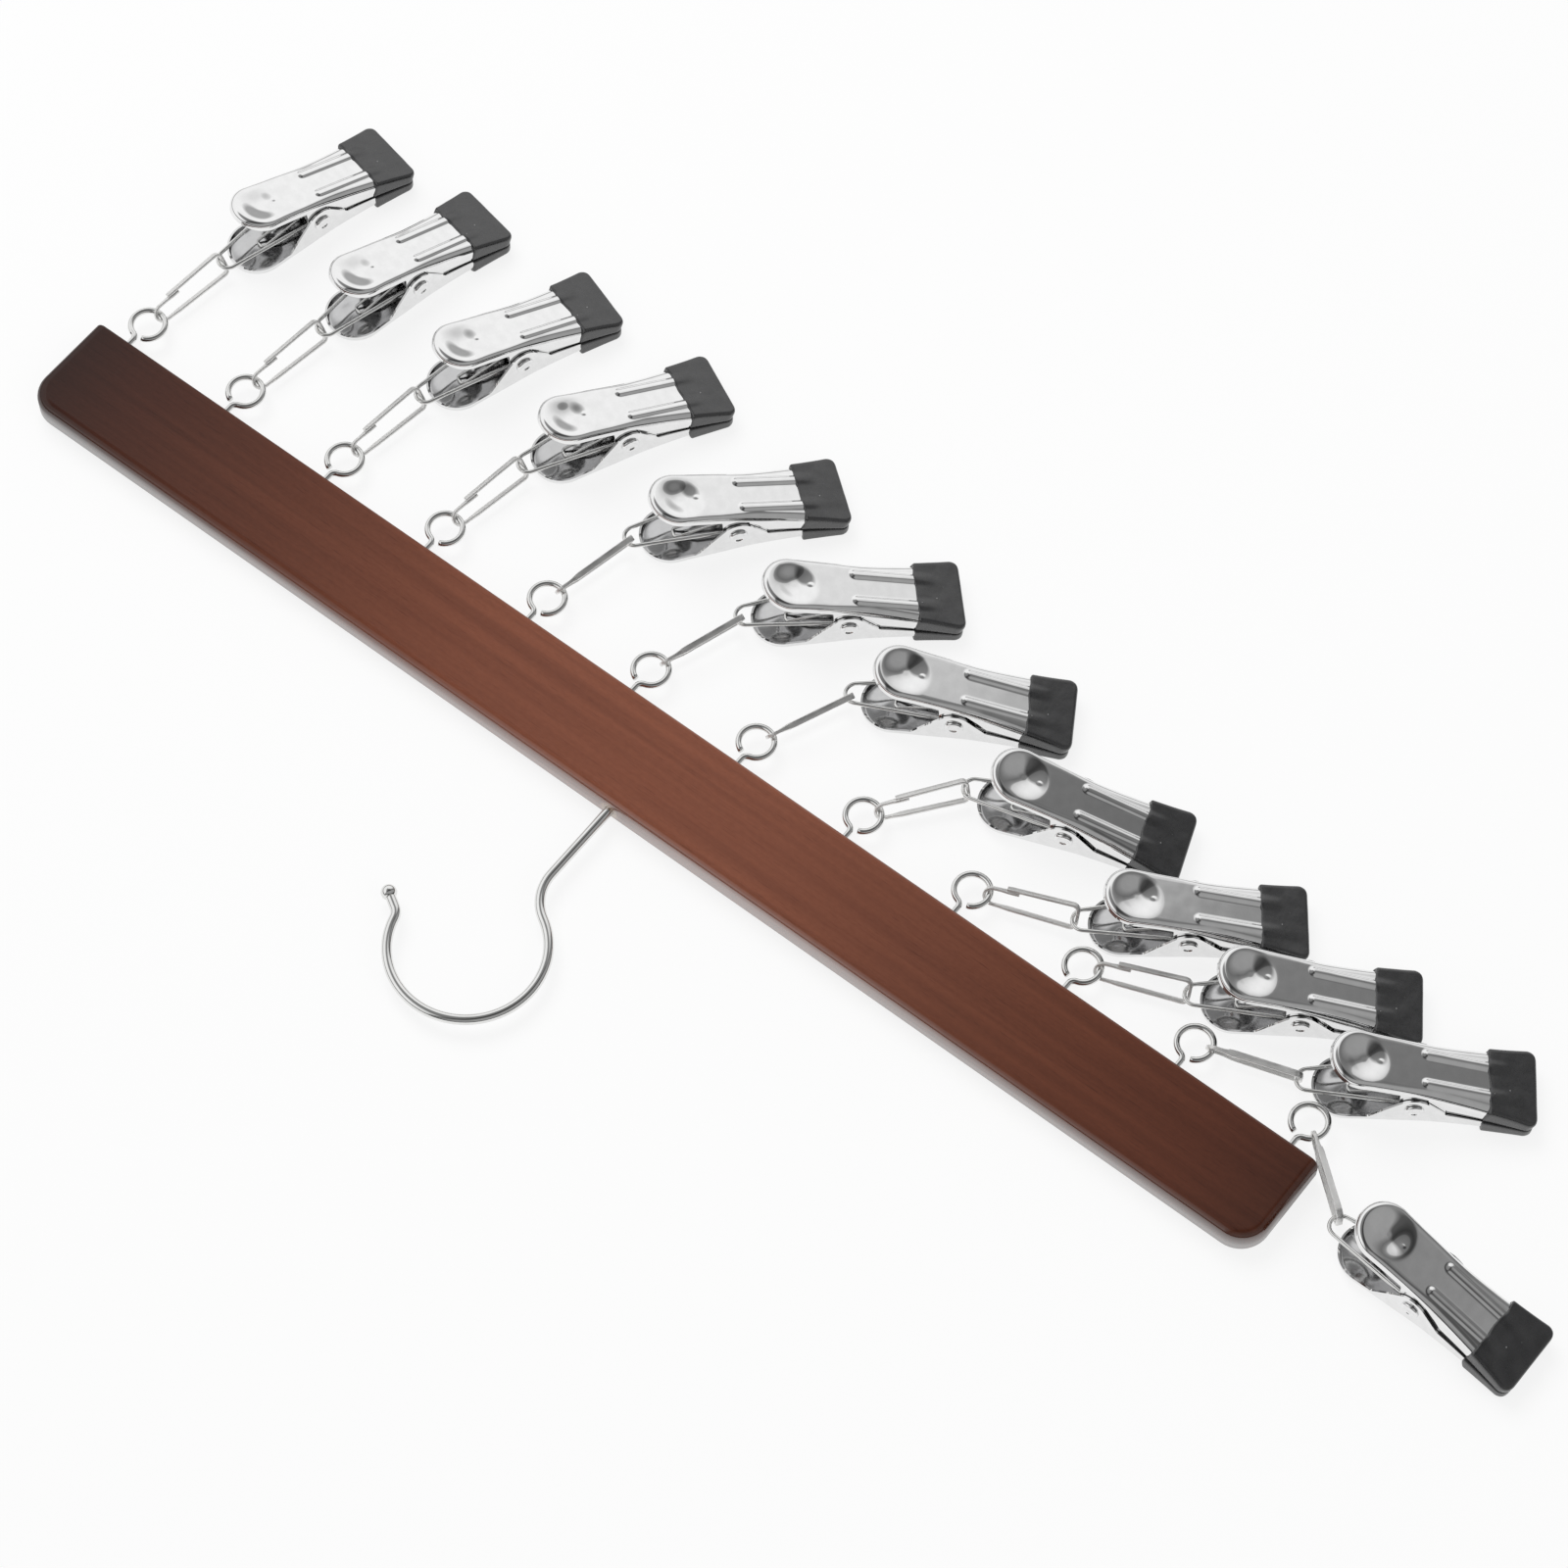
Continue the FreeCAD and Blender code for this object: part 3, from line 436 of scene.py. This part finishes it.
class Plan:
    """A shell's outline: a round handle and long hollow flanks."""

    def __init__(self, waist):
        reach = JAW + WAIST_BACK
        flare = TIP_HALF - waist
        self.flank_r = (flare**2 + reach**2) / (2 * flare)
        self.flank_x = waist + self.flank_r
        back = HANDLE - WAIST_BACK
        grown = back**2 + self.flank_x**2 - self.flank_r**2
        self.handle_r = grown / (2 * (back + self.flank_r))
        self.handle_y = self.handle_r - HANDLE
        angle = math.atan2(-WAIST_BACK - self.handle_y, self.flank_x)
        self.join_y = self.handle_y + self.handle_r * math.sin(angle)

    def half(self, y, grow=0.0):
        """Half of the outline's width, with the outline moved outwards by grow."""
        if y < self.join_y:
            return math.sqrt(max(0.0, (self.handle_r + grow) ** 2 - (y - self.handle_y) ** 2))
        return self.flank_x - math.sqrt((self.flank_r - grow) ** 2 - (y + WAIST_BACK) ** 2)

    def outward(self, x, y):
        """The outline's outward direction at a point."""
        side = -1 if x < 0 else 1
        if y < self.join_y:
            return Vector((x, y - self.handle_y)).normalized()
        return Vector((side * (self.flank_x - abs(x)), -WAIST_BACK - y)).normalized()


def press_r(y):
    """The radius of the pressed edge along the clip."""
    return mix(PRESS_HANDLE, PRESS_JAW, smooth(*PRESS_CHANGE, y))


def relief(x, y):
    """How far the thumb dish, its small pip and the two ribs raise the plate."""
    from_dish = math.hypot(x, y + DISH_BACK)
    lift = -DISH_DEPTH * (1 - smooth(DISH_FLOOR, DISH_BRIM, from_dish))
    from_pip = math.hypot(x, y + PIP_BACK)
    lift += PIP_RISE * (1 - smooth(PIP_CROWN, PIP_R, from_pip))
    from_rib = math.hypot(abs(x) - RIB_X, min(0.0, y - RIB_START))
    return lift + RIB_RISE * (1 - smooth(RIB_CREST, RIB_FOOT, from_rib))


def rim_height(y, ear_r, slope_from):
    """The lower edge of a shell's sides along the clip."""
    rim = PLATE - RIM
    if y <= -slope_from:
        return rim
    bearing = math.atan2(rim, -slope_from)
    first = bearing + math.acos(ear_r / math.hypot(rim, slope_from))
    rear = (ear_r * math.cos(first), ear_r * math.sin(first))
    front = (ear_r * math.sqrt(0.5), -ear_r * math.sqrt(0.5))
    if y <= rear[0]:
        return mix(rim, rear[1], (y + slope_from) / (rear[0] + slope_from))
    if y <= front[0]:
        return -math.sqrt(max(0.0, ear_r**2 - y * y))
    return min(front[1] + y - front[0], y * JAW_SLOPE + JAW_GAP)


def shell_mesh(name, plan, ear_r, slope_from):
    """A pressed shell: plate, rounded edge, sides with ears and the sheet's inner face."""
    round_rows, long_rows = 22, 116
    bends, walls = 7, 4
    end_r = plan.handle_r - PRESS_HANDLE
    rows = [plan.handle_y - end_r * math.cos(0.5 * math.pi * i / round_rows) for i in range(round_rows)]
    rows += [mix(plan.handle_y, DIP_LINE + DIP_TUCK, i / long_rows) for i in range(long_rows + 1)]
    columns = [-x for x in reversed(PLATE_COLUMNS[1:])] + PLATE_COLUMNS
    points, faces = [], []

    def plate(level, inner):
        """A face of the plate by rows: one vertex at the handle's end, then full rows."""
        table = []
        for y in rows:
            edge = plan.half(y, -press_r(y))
            fit = min(1.0, PLATE_BORDER * edge / PLATE_COLUMNS[-1])
            line = [-edge] + [x * fit for x in columns] + [edge] if table else [0.0]
            table.append([len(points) + i for i in range(len(line))])
            points.extend((x, y, level + relief(x, y)) for x in line)
        for a, b in zip(table, table[1:]):
            for i in range(len(b) - 1):
                face = (a[0], b[i + 1], b[i]) if len(a) == 1 else (a[i], a[i + 1], b[i + 1], b[i])
                faces.append(tuple(reversed(face)) if inner else face)
        return table

    def sides(table, inner):
        """The rounded edge and the side below it, from the plate's border down to the rim."""
        border = [row[0] for row in reversed(table[1:])] + [table[0][0]] + [row[-1] for row in table[1:]]
        upper = border
        for k in range(1, bends + walls + 1):
            turn = math.radians(90 * min(k, bends) / bends)
            lower = []
            for index in border:
                x, y = points[index][:2]
                r = press_r(y)
                normal = Vector((0, -1)) if x == 0 and y < plan.join_y else plan.outward(x, y)
                bend_r = r - SHEET if inner else r
                out = bend_r * math.sin(turn)
                px, py = x + normal.x * out, y + normal.y * out
                pz = PLATE - r + bend_r * math.cos(turn)
                if k <= bends:
                    pz += relief(px, py) * math.cos(turn)
                else:
                    pz = mix(pz, rim_height(py, ear_r, slope_from), (k - bends) / walls)
                lower.append(len(points))
                points.append((px, py, pz))
            for i in range(len(upper) - 1):
                face = (upper[i], lower[i], lower[i + 1], upper[i + 1])
                faces.append(tuple(reversed(face)) if inner else face)
            upper = lower
        return upper

    outer_rim = sides(plate(PLATE, False), False)
    first_inner = len(faces)
    inner_rim = sides(plate(PLATE - SHEET, True), True)
    past_inner = len(faces)
    for i in range(len(outer_rim) - 1):
        faces.append((outer_rim[i], inner_rim[i], inner_rim[i + 1], outer_rim[i + 1]))
    mesh = new_mesh(name, points, faces, CHROME, sharp=32.0)
    # The inner faces take the darker metal, painted shade for the clip's inside.
    mesh.materials.append(SHADED_INNER_CHROME)
    for face in mesh.polygons[first_inner:past_inner]:
        face.material_index = 1
    return mesh


# Dipped tips

def tip_section(plan, y):
    """The tip's section at one place along the jaw, with its top and the skin's thickness there."""
    wall_steps, round_steps = 4, 6
    lip_round = DIP_LIP * 0.3
    front = JAW + SKIN
    corner = TIP_CORNER + SKIN
    bend = DIP_ROUND
    thin = max(0.0, 1 - (y - DIP_LINE) / DIP_EDGE)
    skin = SKIN - DIP_THINNING * (1 - math.sqrt(1 - thin * thin))
    half = plan.half(y, skin)
    if y > front - corner:
        full = plan.half(front - corner, skin)
        lean = (half - full) * CORNER_LEAN
        half = full + lean - corner + math.sqrt(max(0.0, corner**2 - (y - front + corner) ** 2))
    top = PLATE + skin
    if y > front - bend:
        top -= bend - math.sqrt(max(0.0, bend**2 - (y - front + bend) ** 2))
    low = y * JAW_SLOPE + DIP_GAP
    side = [(half - DIP_LIP, low), (half - lip_round, low + lip_round), (half, low + DIP_LIP)]
    span = top - bend - low - DIP_LIP
    side += [(half, low + DIP_LIP + span * k / wall_steps) for k in range(1, wall_steps + 1)]
    for k in range(1, round_steps + 1):
        a = math.radians(90 * k / round_steps)
        side.append((half - bend + bend * math.cos(a), top - bend + bend * math.sin(a)))
    crown = half - bend
    across = [(mix(crown, -crown, k / TIP_COLUMNS), top) for k in range(1, TIP_COLUMNS)]
    return side + across + [(-x, z) for x, z in reversed(side)], top, skin


def tip_point(x, y, z, top, skin, seed):
    """A point of the tip, moved by the lumps over the ribs, the uneven skin and the wavy edge."""
    high = smooth(top - DIP_ROUND * CROWN_FADE, top, z)
    near = abs(abs(x) - RIB_X)
    lump = RIB_LUMP * (1 - smooth(*RIB_LUMP_WIDTH, near)) * (1 - smooth(*RIB_LUMP_END, y)) * high
    if skin < SKIN:
        lump *= EDGE_LUMP_SHARE
    scale = SKIN_LUMP_SCALE
    skin_place = Vector((x * scale + seed * SKIN_SEED_STEP, y * scale, z * scale))
    lumpy = noise.noise(skin_place) * SKIN_LUMP * high
    wide, tall = EDGE_WAVE_SCALE
    edge_place = Vector((x * wide + seed * EDGE_SEED_STEP, z * tall, EDGE_SEED_START + seed))
    sag = noise.noise(edge_place)
    wave = EDGE_WAVE * sag - EDGE_PULL * (1 - smooth(*EDGE_PULL_WIDTH, near)) * high
    wave *= 1 - smooth(0, EDGE_WAVE_REACH, y - DIP_LINE)
    return x, y + wave, z + lump + lumpy


def tip_mesh(name, plan, seed):
    """A dipped tip: a soft boot over the jaw's end."""
    edge_rows, long_rows, corner_rows = 7, 18, 16
    corner = TIP_CORNER + SKIN
    shoulder = JAW + SKIN - corner
    edge_end = DIP_LINE + DIP_EDGE
    rows = [DIP_LINE + DIP_EDGE * (1 - math.cos(0.5 * math.pi * i / edge_rows)) for i in range(edge_rows + 1)]
    rows += [mix(edge_end, shoulder, i / long_rows) for i in range(1, long_rows + 1)]
    rows += [shoulder + corner * math.sin(0.5 * math.pi * i / corner_rows) for i in range(1, corner_rows + 1)]
    points, faces, loops = [], [], []
    for y in rows:
        section, top, skin = tip_section(plan, y)
        loops.append([len(points) + i for i in range(len(section))])
        points += [tip_point(x, y, z, top, skin, seed) for x, z in section]
    for a, b in zip(loops, loops[1:]):
        for i in range(len(a)):
            n = (i + 1) % len(a)
            faces.append((a[i], b[i], b[n], a[n]))
    faces.append(tuple(loops[0]))
    faces.append(tuple(reversed(loops[-1])))
    return new_mesh(name, points, faces, VINYL, sharp=50.0)


# Rivet, bail, link and spring

def rivet_mesh(plan):
    """The pin and its two dished heads, turned from half a section."""
    sides = 36
    head = RIVET_HEAD
    inner = plan.half(head) + RIVET_GAP
    outer = inner + RIVET_RISE
    section = [(0, PIN_R), (inner - 0.02, PIN_R), (inner, PIN_R + 0.05), (inner, head - 0.08),
               (inner + 0.12, head), (inner + 0.35, head - 0.03), (outer - 0.12, head * 0.92),
               (outer, head * 0.82), (outer - 0.02, head * 0.70), (outer - 0.16, head * 0.60),
               (outer - 0.40, head * 0.52), (outer - 0.47, head * 0.40), (outer - 0.40, head * 0.22),
               (outer - 0.33, 0.0)]
    profile = [(-x, r) for x, r in reversed(section[1:])] + section
    points = [(x, r * math.cos(2 * math.pi * k / sides), r * math.sin(2 * math.pi * k / sides))
              for x, r in profile for k in range(sides)]
    faces = []
    for i in range(len(profile) - 1):
        for k in range(sides):
            n = (k + 1) % sides
            faces.append((i * sides + k, (i + 1) * sides + k, (i + 1) * sides + n, i * sides + n))
    return new_mesh("rivet", points, faces, CHROME, sharp=60.0)


def bail_mesh():
    """The wire bail: an eye round the pin at each side and a narrow round head."""
    wire_r = 0.6
    eye_x = 6.7
    eye_r = 2.16
    head_r = 3.2
    length = 31.8
    rise = 3.0
    leg_steps, head_steps, eye_steps, eye_sides = 24, 28, 28, 12
    head = (0.0, head_r - length)
    start = Vector((eye_x, -eye_r, 0))
    run = Vector((head[0] - start.x, head[1] - start.y))
    bend = math.degrees(math.atan2(run.y, run.x)) + 90 + math.degrees(math.asin(head_r / run.length))
    right = arc(head, head_r, bend, bend, 1)[0]
    left = Vector((-right.x, right.y, 0))
    stop = Vector((-start.x, start.y, 0))
    path = [mix(start, right, i / leg_steps) for i in range(leg_steps)]
    path += arc(head, head_r, bend, -180 - bend, head_steps)
    path += [mix(left, stop, i / leg_steps) for i in range(1, leg_steps + 1)]
    eyes = []
    for x in (eye_x, -eye_x):
        turn = [2 * math.pi * i / eye_steps for i in range(eye_steps)]
        eye = [Vector((x, eye_r * math.cos(a), eye_r * math.sin(a))) for a in turn]
        eyes.append(tube(eye, wire_r, eye_sides, closed=True))
    points, faces = merged(tube(path, wire_r), *eyes)
    tilt = Matrix.Rotation(math.asin(rise / length), 3, "X")
    return new_mesh("bail", [tilt @ Vector(p) for p in points], faces, WIRE)


def link_path():
    """A link's middle line along Y: a bow round the eye, a squarer end on the bail, its ends lapped."""
    # Radii of the CAD's wires, which set where the link bears
    eye_wire_r, bail_wire_r, wire_r = 0.8, 0.5, 0.55
    play = 0.3
    bow_r = 2.6
    corner_r = 1.7
    corner_x = 3.2
    lap = (4.6, 8.2)
    lap_step = 0.95
    bow_steps, corner_steps, end_steps, leg_steps = 26, 9, 6, 14
    bow = Vector((0, bow_r - eye_wire_r - wire_r - play))
    top = LINK_LENGTH + bail_wire_r + wire_r + play
    corner = Vector((corner_x - corner_r, top - corner_r))
    far_corner = Vector((-corner.x - lap_step, corner.y))
    run = corner - bow
    lean = math.degrees(math.atan2(run.y, run.x)) - math.degrees(math.acos((bow_r - corner_r) / run.length))

    def bend(centre, radius, first, last, steps):
        return [Vector((p.x, p.y)) for p in arc(centre, radius, first, last, steps)]

    def straight(a, b, steps):
        return [a.lerp(b, i / steps) for i in range(1, steps)]

    rounds = bend(bow, bow_r, 180 - lean, 360 + lean, bow_steps)
    right = bend(corner, corner_r, lean, 90, corner_steps)
    left = bend(far_corner, corner_r, 90, 180 - lean, corner_steps)
    slope = (right[0].x - rounds[-1].x) / (right[0].y - rounds[-1].y)
    start = rounds[0] + Vector((-slope, 1)) * (lap[1] - rounds[0].y)
    stop = left[-1] + Vector((-slope, 1)) * (lap[0] - left[-1].y)
    path = [start] + straight(start, rounds[0], end_steps) + rounds
    path += straight(rounds[-1], right[0], leg_steps) + right
    path += straight(right[-1], left[0], end_steps) + left
    return path + straight(left[-1], stop, leg_steps) + [stop]


def link_mesh():
    """A link of flat wire, narrower where it swings on the eye."""
    wide, thick, edge = 0.92, 0.42, 0.24
    narrow_share = 0.58
    narrow_end = (2.5, 6.0)
    corner_steps = 4
    section = []
    for cx, cz, first in ((thick, wide, 0), (-thick, wide, 90), (-thick, -wide, 180), (thick, -wide, 270)):
        ox, oz = cx - math.copysign(edge, cx), cz - math.copysign(edge, cz)
        for k in range(corner_steps + 1):
            a = math.radians(first + 90 / corner_steps * k)
            section.append((ox + edge * math.cos(a), oz + edge * math.sin(a)))
    path = link_path()
    points, faces = [], []
    count = len(section)
    for i, place in enumerate(path):
        along = (path[min(i + 1, len(path) - 1)] - path[max(i - 1, 0)]).normalized()
        out = Vector((along.y, -along.x))
        spread = mix(narrow_share, 1.0, smooth(*narrow_end, place.y))
        points += [(place.x + out.x * u, place.y + out.y * u, v * spread) for u, v in section]
    for i in range(len(path) - 1):
        for k in range(count):
            n = (k + 1) % count
            faces.append((i * count + k, i * count + n, (i + 1) * count + n, (i + 1) * count + k))
    faces.append(tuple(reversed(range(count))))
    faces.append(tuple(range((len(path) - 1) * count, len(path) * count)))
    return new_mesh("link", points, faces, LINK_NICKEL, sharp=40.0)


def link_place(tag, roll):
    """A link's place: from the eye's wire to the bail's head, rolled about its own length."""
    eye = Vector(JOINTS["link_swing_" + tag]["pos_m"])
    along = (Vector(JOINTS["clip_swing_" + tag]["pos_m"]) - eye).normalized()
    level = Vector((along.y, -along.x, 0)).normalized()
    turn = Matrix((level, along, level.cross(along))).transposed().to_4x4()
    return Matrix.Translation(eye) @ turn @ Matrix.Rotation(math.radians(roll), 4, "Y")


def spring_path():
    """A double torsion spring: a tongue on the lower handle, two coils round the
    pin, and a leg from each coil up to the upper handle."""
    coil_r = 2.6
    coil_x = 1.5
    pitch = 1.65
    turns = 2
    eased = 90
    tongue_length = 18.0
    tongue_bend = 1.1
    tongue_flat = 0.2
    leg_length = 8.6
    play = 0.12
    bend_steps, tongue_steps, coil_steps, leg_steps = 6, 14, 84, 10
    seat = PLATE - SHEET - SPRING_WIRE_R - play

    def wind(arm, height):
        """The angle at which a straight arm leaves the coil to end at a height."""
        return math.degrees(math.atan2(arm, coil_r) - math.acos(height / math.hypot(coil_r, arm)))

    low = wind(tongue_length, seat - DISH_DEPTH)
    high = wind(leg_length, seat) + SPREAD
    total = 180 - low - high + 360 * turns

    def on_coil(turned, x):
        a = math.radians(low - 90 + turned)
        return Vector((x, coil_r * math.cos(a), coil_r * math.sin(a)))

    def heading(turned):
        a = math.radians(low - 90 + turned)
        return Vector((0, -math.sin(a), math.cos(a)))

    def climb(turned):
        """The coil's way along the pin, which starts gently."""
        if turned > eased:
            return pitch * (turned - eased / 2) / 360
        return pitch * turned**2 / (2 * eased * 360)

    ahead = heading(0)
    tongue = on_coil(0, coil_x) - ahead * tongue_length
    half = [tongue + Vector((-coil_x, 0, 0)), tongue + Vector((-coil_x + tongue_flat, 0, 0))]
    for i in range(bend_steps + 1):
        a = math.radians(90 * i / bend_steps)
        aside = Vector((-tongue_bend + tongue_bend * math.sin(a), 0, 0))
        half.append(tongue + aside + ahead * (tongue_bend - tongue_bend * math.cos(a)))
    for i in range(1, tongue_steps):
        half.append(tongue + ahead * mix(tongue_bend, tongue_length, i / tongue_steps))
    for i in range(coil_steps + 1):
        turned = total * i / coil_steps
        half.append(on_coil(turned, coil_x + climb(turned)))
    last = half[-1]
    half += [last + heading(total) * leg_length * i / leg_steps for i in range(1, leg_steps + 1)]
    return [Vector((-p.x, p.y, p.z)) for p in reversed(half[1:])] + half


# Clips and links, one set per screw eye

UPPER = Plan(UPPER_WAIST)
LOWER = Plan(LOWER_WAIST)
upper_shell = shell_mesh("upper_shell", UPPER, UPPER_EAR, UPPER_SLOPE)
lower_shell = shell_mesh("lower_shell", LOWER, LOWER_EAR, LOWER_SLOPE)
upper_tips = [tip_mesh("upper_tip", UPPER, seed) for seed in range(TIP_SHAPES)]
lower_tips = [tip_mesh("lower_tip", LOWER, seed + TIP_SHAPES) for seed in range(TIP_SHAPES)]
rivet = rivet_mesh(LOWER)
bail = bail_mesh()
link = link_mesh()
spring_points, spring_faces = tube(spring_path(), SPRING_WIRE_R, sides=12)


def finish_piece(piece, node, body):
    """Ties a piece to its body and hides the CAD node that it stands for."""
    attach(piece, body)
    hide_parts(node)


def add_clip(number, tag):
    """A clip, its spring and its link."""
    joint = JOINTS["jaw_" + tag]
    pin = Vector(joint["pos_m"])
    across = Vector(joint["axis"])
    along = Vector((-across.y, across.x, 0))
    turn = Matrix((across, along, Vector((0, 0, 1)))).transposed().to_4x4()
    clip = Matrix.Translation(pin) @ turn
    under = clip @ Matrix.Rotation(math.pi, 4, "Y")
    raised = clip @ Matrix.Rotation(math.radians(-SPREAD), 4, "X")
    lower_body = "clip_body_" + tag
    upper_body = "lever_body_" + tag
    lower_tip = lower_tips[(number * TIP_STEP + 1) % TIP_SHAPES]
    upper_tip = upper_tips[number * TIP_STEP % TIP_SHAPES]
    for name, mesh, matrix, slot in (
        ("lower_shell_", lower_shell, under, "clip_chrome"),
        ("lower_tip_", lower_tip, under, "black_vinyl"),
        ("rivet_", rivet, clip, "clip_chrome"),
        ("bail_", bail, clip, "spring_steel"),
    ):
        finish_piece(add_object(name + tag, mesh, matrix), "lower_jaw_" + tag, lower_body)
    for name, mesh, slot in (
        ("upper_shell_", upper_shell, "clip_chrome"),
        ("upper_tip_", upper_tip, "black_vinyl"),
    ):
        finish_piece(add_object(name + tag, mesh, raised), "upper_jaw_" + tag, upper_body)
    chain = add_object("flat_link_" + tag, link, link_place(tag, LINK_ROLL[number]))
    finish_piece(chain, "link_" + tag, "link_body_" + tag)
    coil_mesh = new_mesh("spring_" + tag, spring_points, spring_faces, WIRE)
    coil = add_object("spring_wire_" + tag, coil_mesh, clip)
    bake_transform(coil)
    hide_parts("spring_" + tag)


for number, tag in enumerate(TAGS):
    add_clip(number, tag)


# Bar, hook and screw eyes

def smooth_shade(mesh, material):
    """One material, shaded smooth between sharp edges."""
    sharp = 35.0
    mesh.materials.clear()
    mesh.materials.append(material)
    mesh.shade_smooth()
    mesh.set_sharp_from_angle(angle=math.radians(sharp))


def dress(node, material):
    """Gives a CAD node its material."""
    piece = frame["nodes"][node]
    smooth_shade(piece.data, material)


def add_plated_eyes():
    """The screw eyes with their plating, which ends where they enter the wood."""
    eyes = bmesh.new()
    eyes.from_mesh(frame["nodes"]["screw_eyes"].data)
    bmesh.ops.remove_doubles(eyes, verts=eyes.verts, dist=EYE_WELD * MM)
    eyes.normal_update()
    for vertex in eyes.verts:
        share = smooth(BAR_HALF, BAR_HALF + EYE_PLATING_FADE, vertex.co.y / MM)
        vertex.co += vertex.normal * EYE_PLATING * MM * share
    mesh = bpy.data.meshes.new("plated_eyes")
    eyes.to_mesh(mesh)
    eyes.free()
    smooth_shade(mesh, EYE_NICKEL)
    finish_piece(add_object("plated_eyes", mesh), "screw_eyes", "bar_body")


dress("bar", WOOD)
dress("hook", HOOK_CHROME)
add_plated_eyes()


# Stage, light and camera, in metres

AZIMUTH = math.radians(37.16)
ELEVATION = math.radians(61.63)
ROLL = math.radians(0.82)
RIGHT = Vector((math.cos(AZIMUTH), math.sin(AZIMUTH), 0))
AHEAD = Vector((-math.sin(AZIMUTH), math.cos(AZIMUTH), 0))
UP = Vector((0, 0, 1))


def add_camera():
    target = Vector((0.03171, 0.0228, 0))
    distance = 1.3709
    sensor = 36.0
    focal_pixels = 4966.6
    frame_pixels = 1600
    look = AHEAD * math.cos(ELEVATION) - UP * math.sin(ELEVATION)
    above = AHEAD * math.sin(ELEVATION) + UP * math.cos(ELEVATION)
    across = RIGHT * math.cos(ROLL) + above * math.sin(ROLL)
    upward = above * math.cos(ROLL) - RIGHT * math.sin(ROLL)
    data = bpy.data.cameras.new("camera")
    data.sensor_width = sensor
    data.lens = sensor * focal_pixels / frame_pixels
    data.clip_start = 0.05
    turn = Matrix((across, upward, -look)).transposed().to_4x4()
    scene.camera = add_object("camera", data, Matrix.Translation(target - look * distance) @ turn)


def add_floor():
    """A white sweep that keeps a pale shadow of the hanger."""
    size = 6.0
    drop = 0.0003
    camera_glow = 0.82
    mirrored_glow = 0.75
    corners = [(-size, -size, 0), (size, -size, 0), (size, size, 0), (-size, size, 0)]
    mesh = bpy.data.meshes.new("floor")
    mesh.from_pydata(corners, [], [(0, 1, 2, 3)])
    floor = add_object("floor", mesh)
    floor.location.z = -drop
    m = Material("white_sweep")
    m.set(Base_Color=(0.86, 0.86, 0.86, 1), Roughness=0.9, Specular_IOR_Level=0.1)
    glow = m.add("Emission", Strength=1.0, Color=(1, 1, 1, 1))
    path = m.add("LightPath")
    share = m.maths("MULTIPLY", path.outputs["Is Camera Ray"], camera_glow)
    share = m.maths("MULTIPLY_ADD", path.outputs["Is Glossy Ray"], mirrored_glow, share)
    both = m.add("MixShader")
    m.link(share, both.inputs[0])
    m.link(m.shader.outputs[0], both.inputs[1])
    m.link(glow.outputs[0], both.inputs[2])
    m.link(both.outputs[0], m.tree.nodes["Material Output"].inputs["Surface"])
    mesh.materials.append(m.material)


def add_world():
    """A white studio, grey at the right, overhead and near the horizon, as the plated clips show it."""
    world = bpy.data.worlds.new("studio")
    world.use_nodes = True
    scene.world = world
    m = Nodes(world.node_tree)
    where = m.add("TexCoord")

    def facing(direction):
        """How far a ray heads in a direction, from 0 to 1."""
        dot = m.add("VectorMath", operation="DOT_PRODUCT")
        m.link(where.outputs["Generated"], dot.inputs[0])
        dot.inputs[1].default_value = direction
        return m.maths("MULTIPLY_ADD", dot.outputs["Value"], 0.5, 0.5)

    slant = (AHEAD - RIGHT).normalized()
    side = m.ramp(facing(slant), (0.18, 0.36), (0.31, 0.32), (0.40, 0.16), (0.43, 0.22), (0.449, 0.30),
                  (0.462, 0.62), (0.52, 0.80), (0.58, 0.92), (0.65, 1.0))
    overhead = m.ramp(facing(UP), (0.66, 1.0), (0.90, 1.0), (0.94, 0.28), (1.0, 0.24))
    horizon = m.ramp(facing(AHEAD), (0.35, 0.08), (0.70, 0.42))
    above = m.ramp(facing(UP), (0.58, 0.0), (0.65, 1.0))
    studio = m.mixed("MULTIPLY", 1.0, side, overhead)
    studio = m.mixed("MIX", above, m.mixed("MULTIPLY", 1.0, studio, horizon), studio)
    path = m.add("LightPath")
    shown = m.mixed("MIX", path.outputs["Is Glossy Ray"], (0.52, 0.52, 0.52, 1), studio)
    shown = m.mixed("MIX", path.outputs["Is Camera Ray"], shown, (1, 1, 1, 1))
    background = m.tree.nodes["Background"]
    m.link(shown, background.inputs["Color"])
    background.inputs["Strength"].default_value = 1.0


def add_lamp(name, place, size, power):
    """A round soft light aimed at the bar, left out of reflections."""
    data = bpy.data.lights.new(name, "AREA")
    data.shape = "DISK"
    data.size = size
    data.energy = power
    lamp = add_object(name, data)
    lamp.location = place
    lamp.rotation_euler = (-place).to_track_quat("-Z", "Y").to_euler()
    lamp.visible_glossy = False


add_camera()
add_floor()
add_world()
add_lamp("key", AHEAD * 0.9 - RIGHT * 0.5 + UP * 1.6, size=1.4, power=20)
add_lamp("fill", RIGHT * 1.2 - AHEAD * 1.0 + UP * 1.4, size=1.6, power=7)
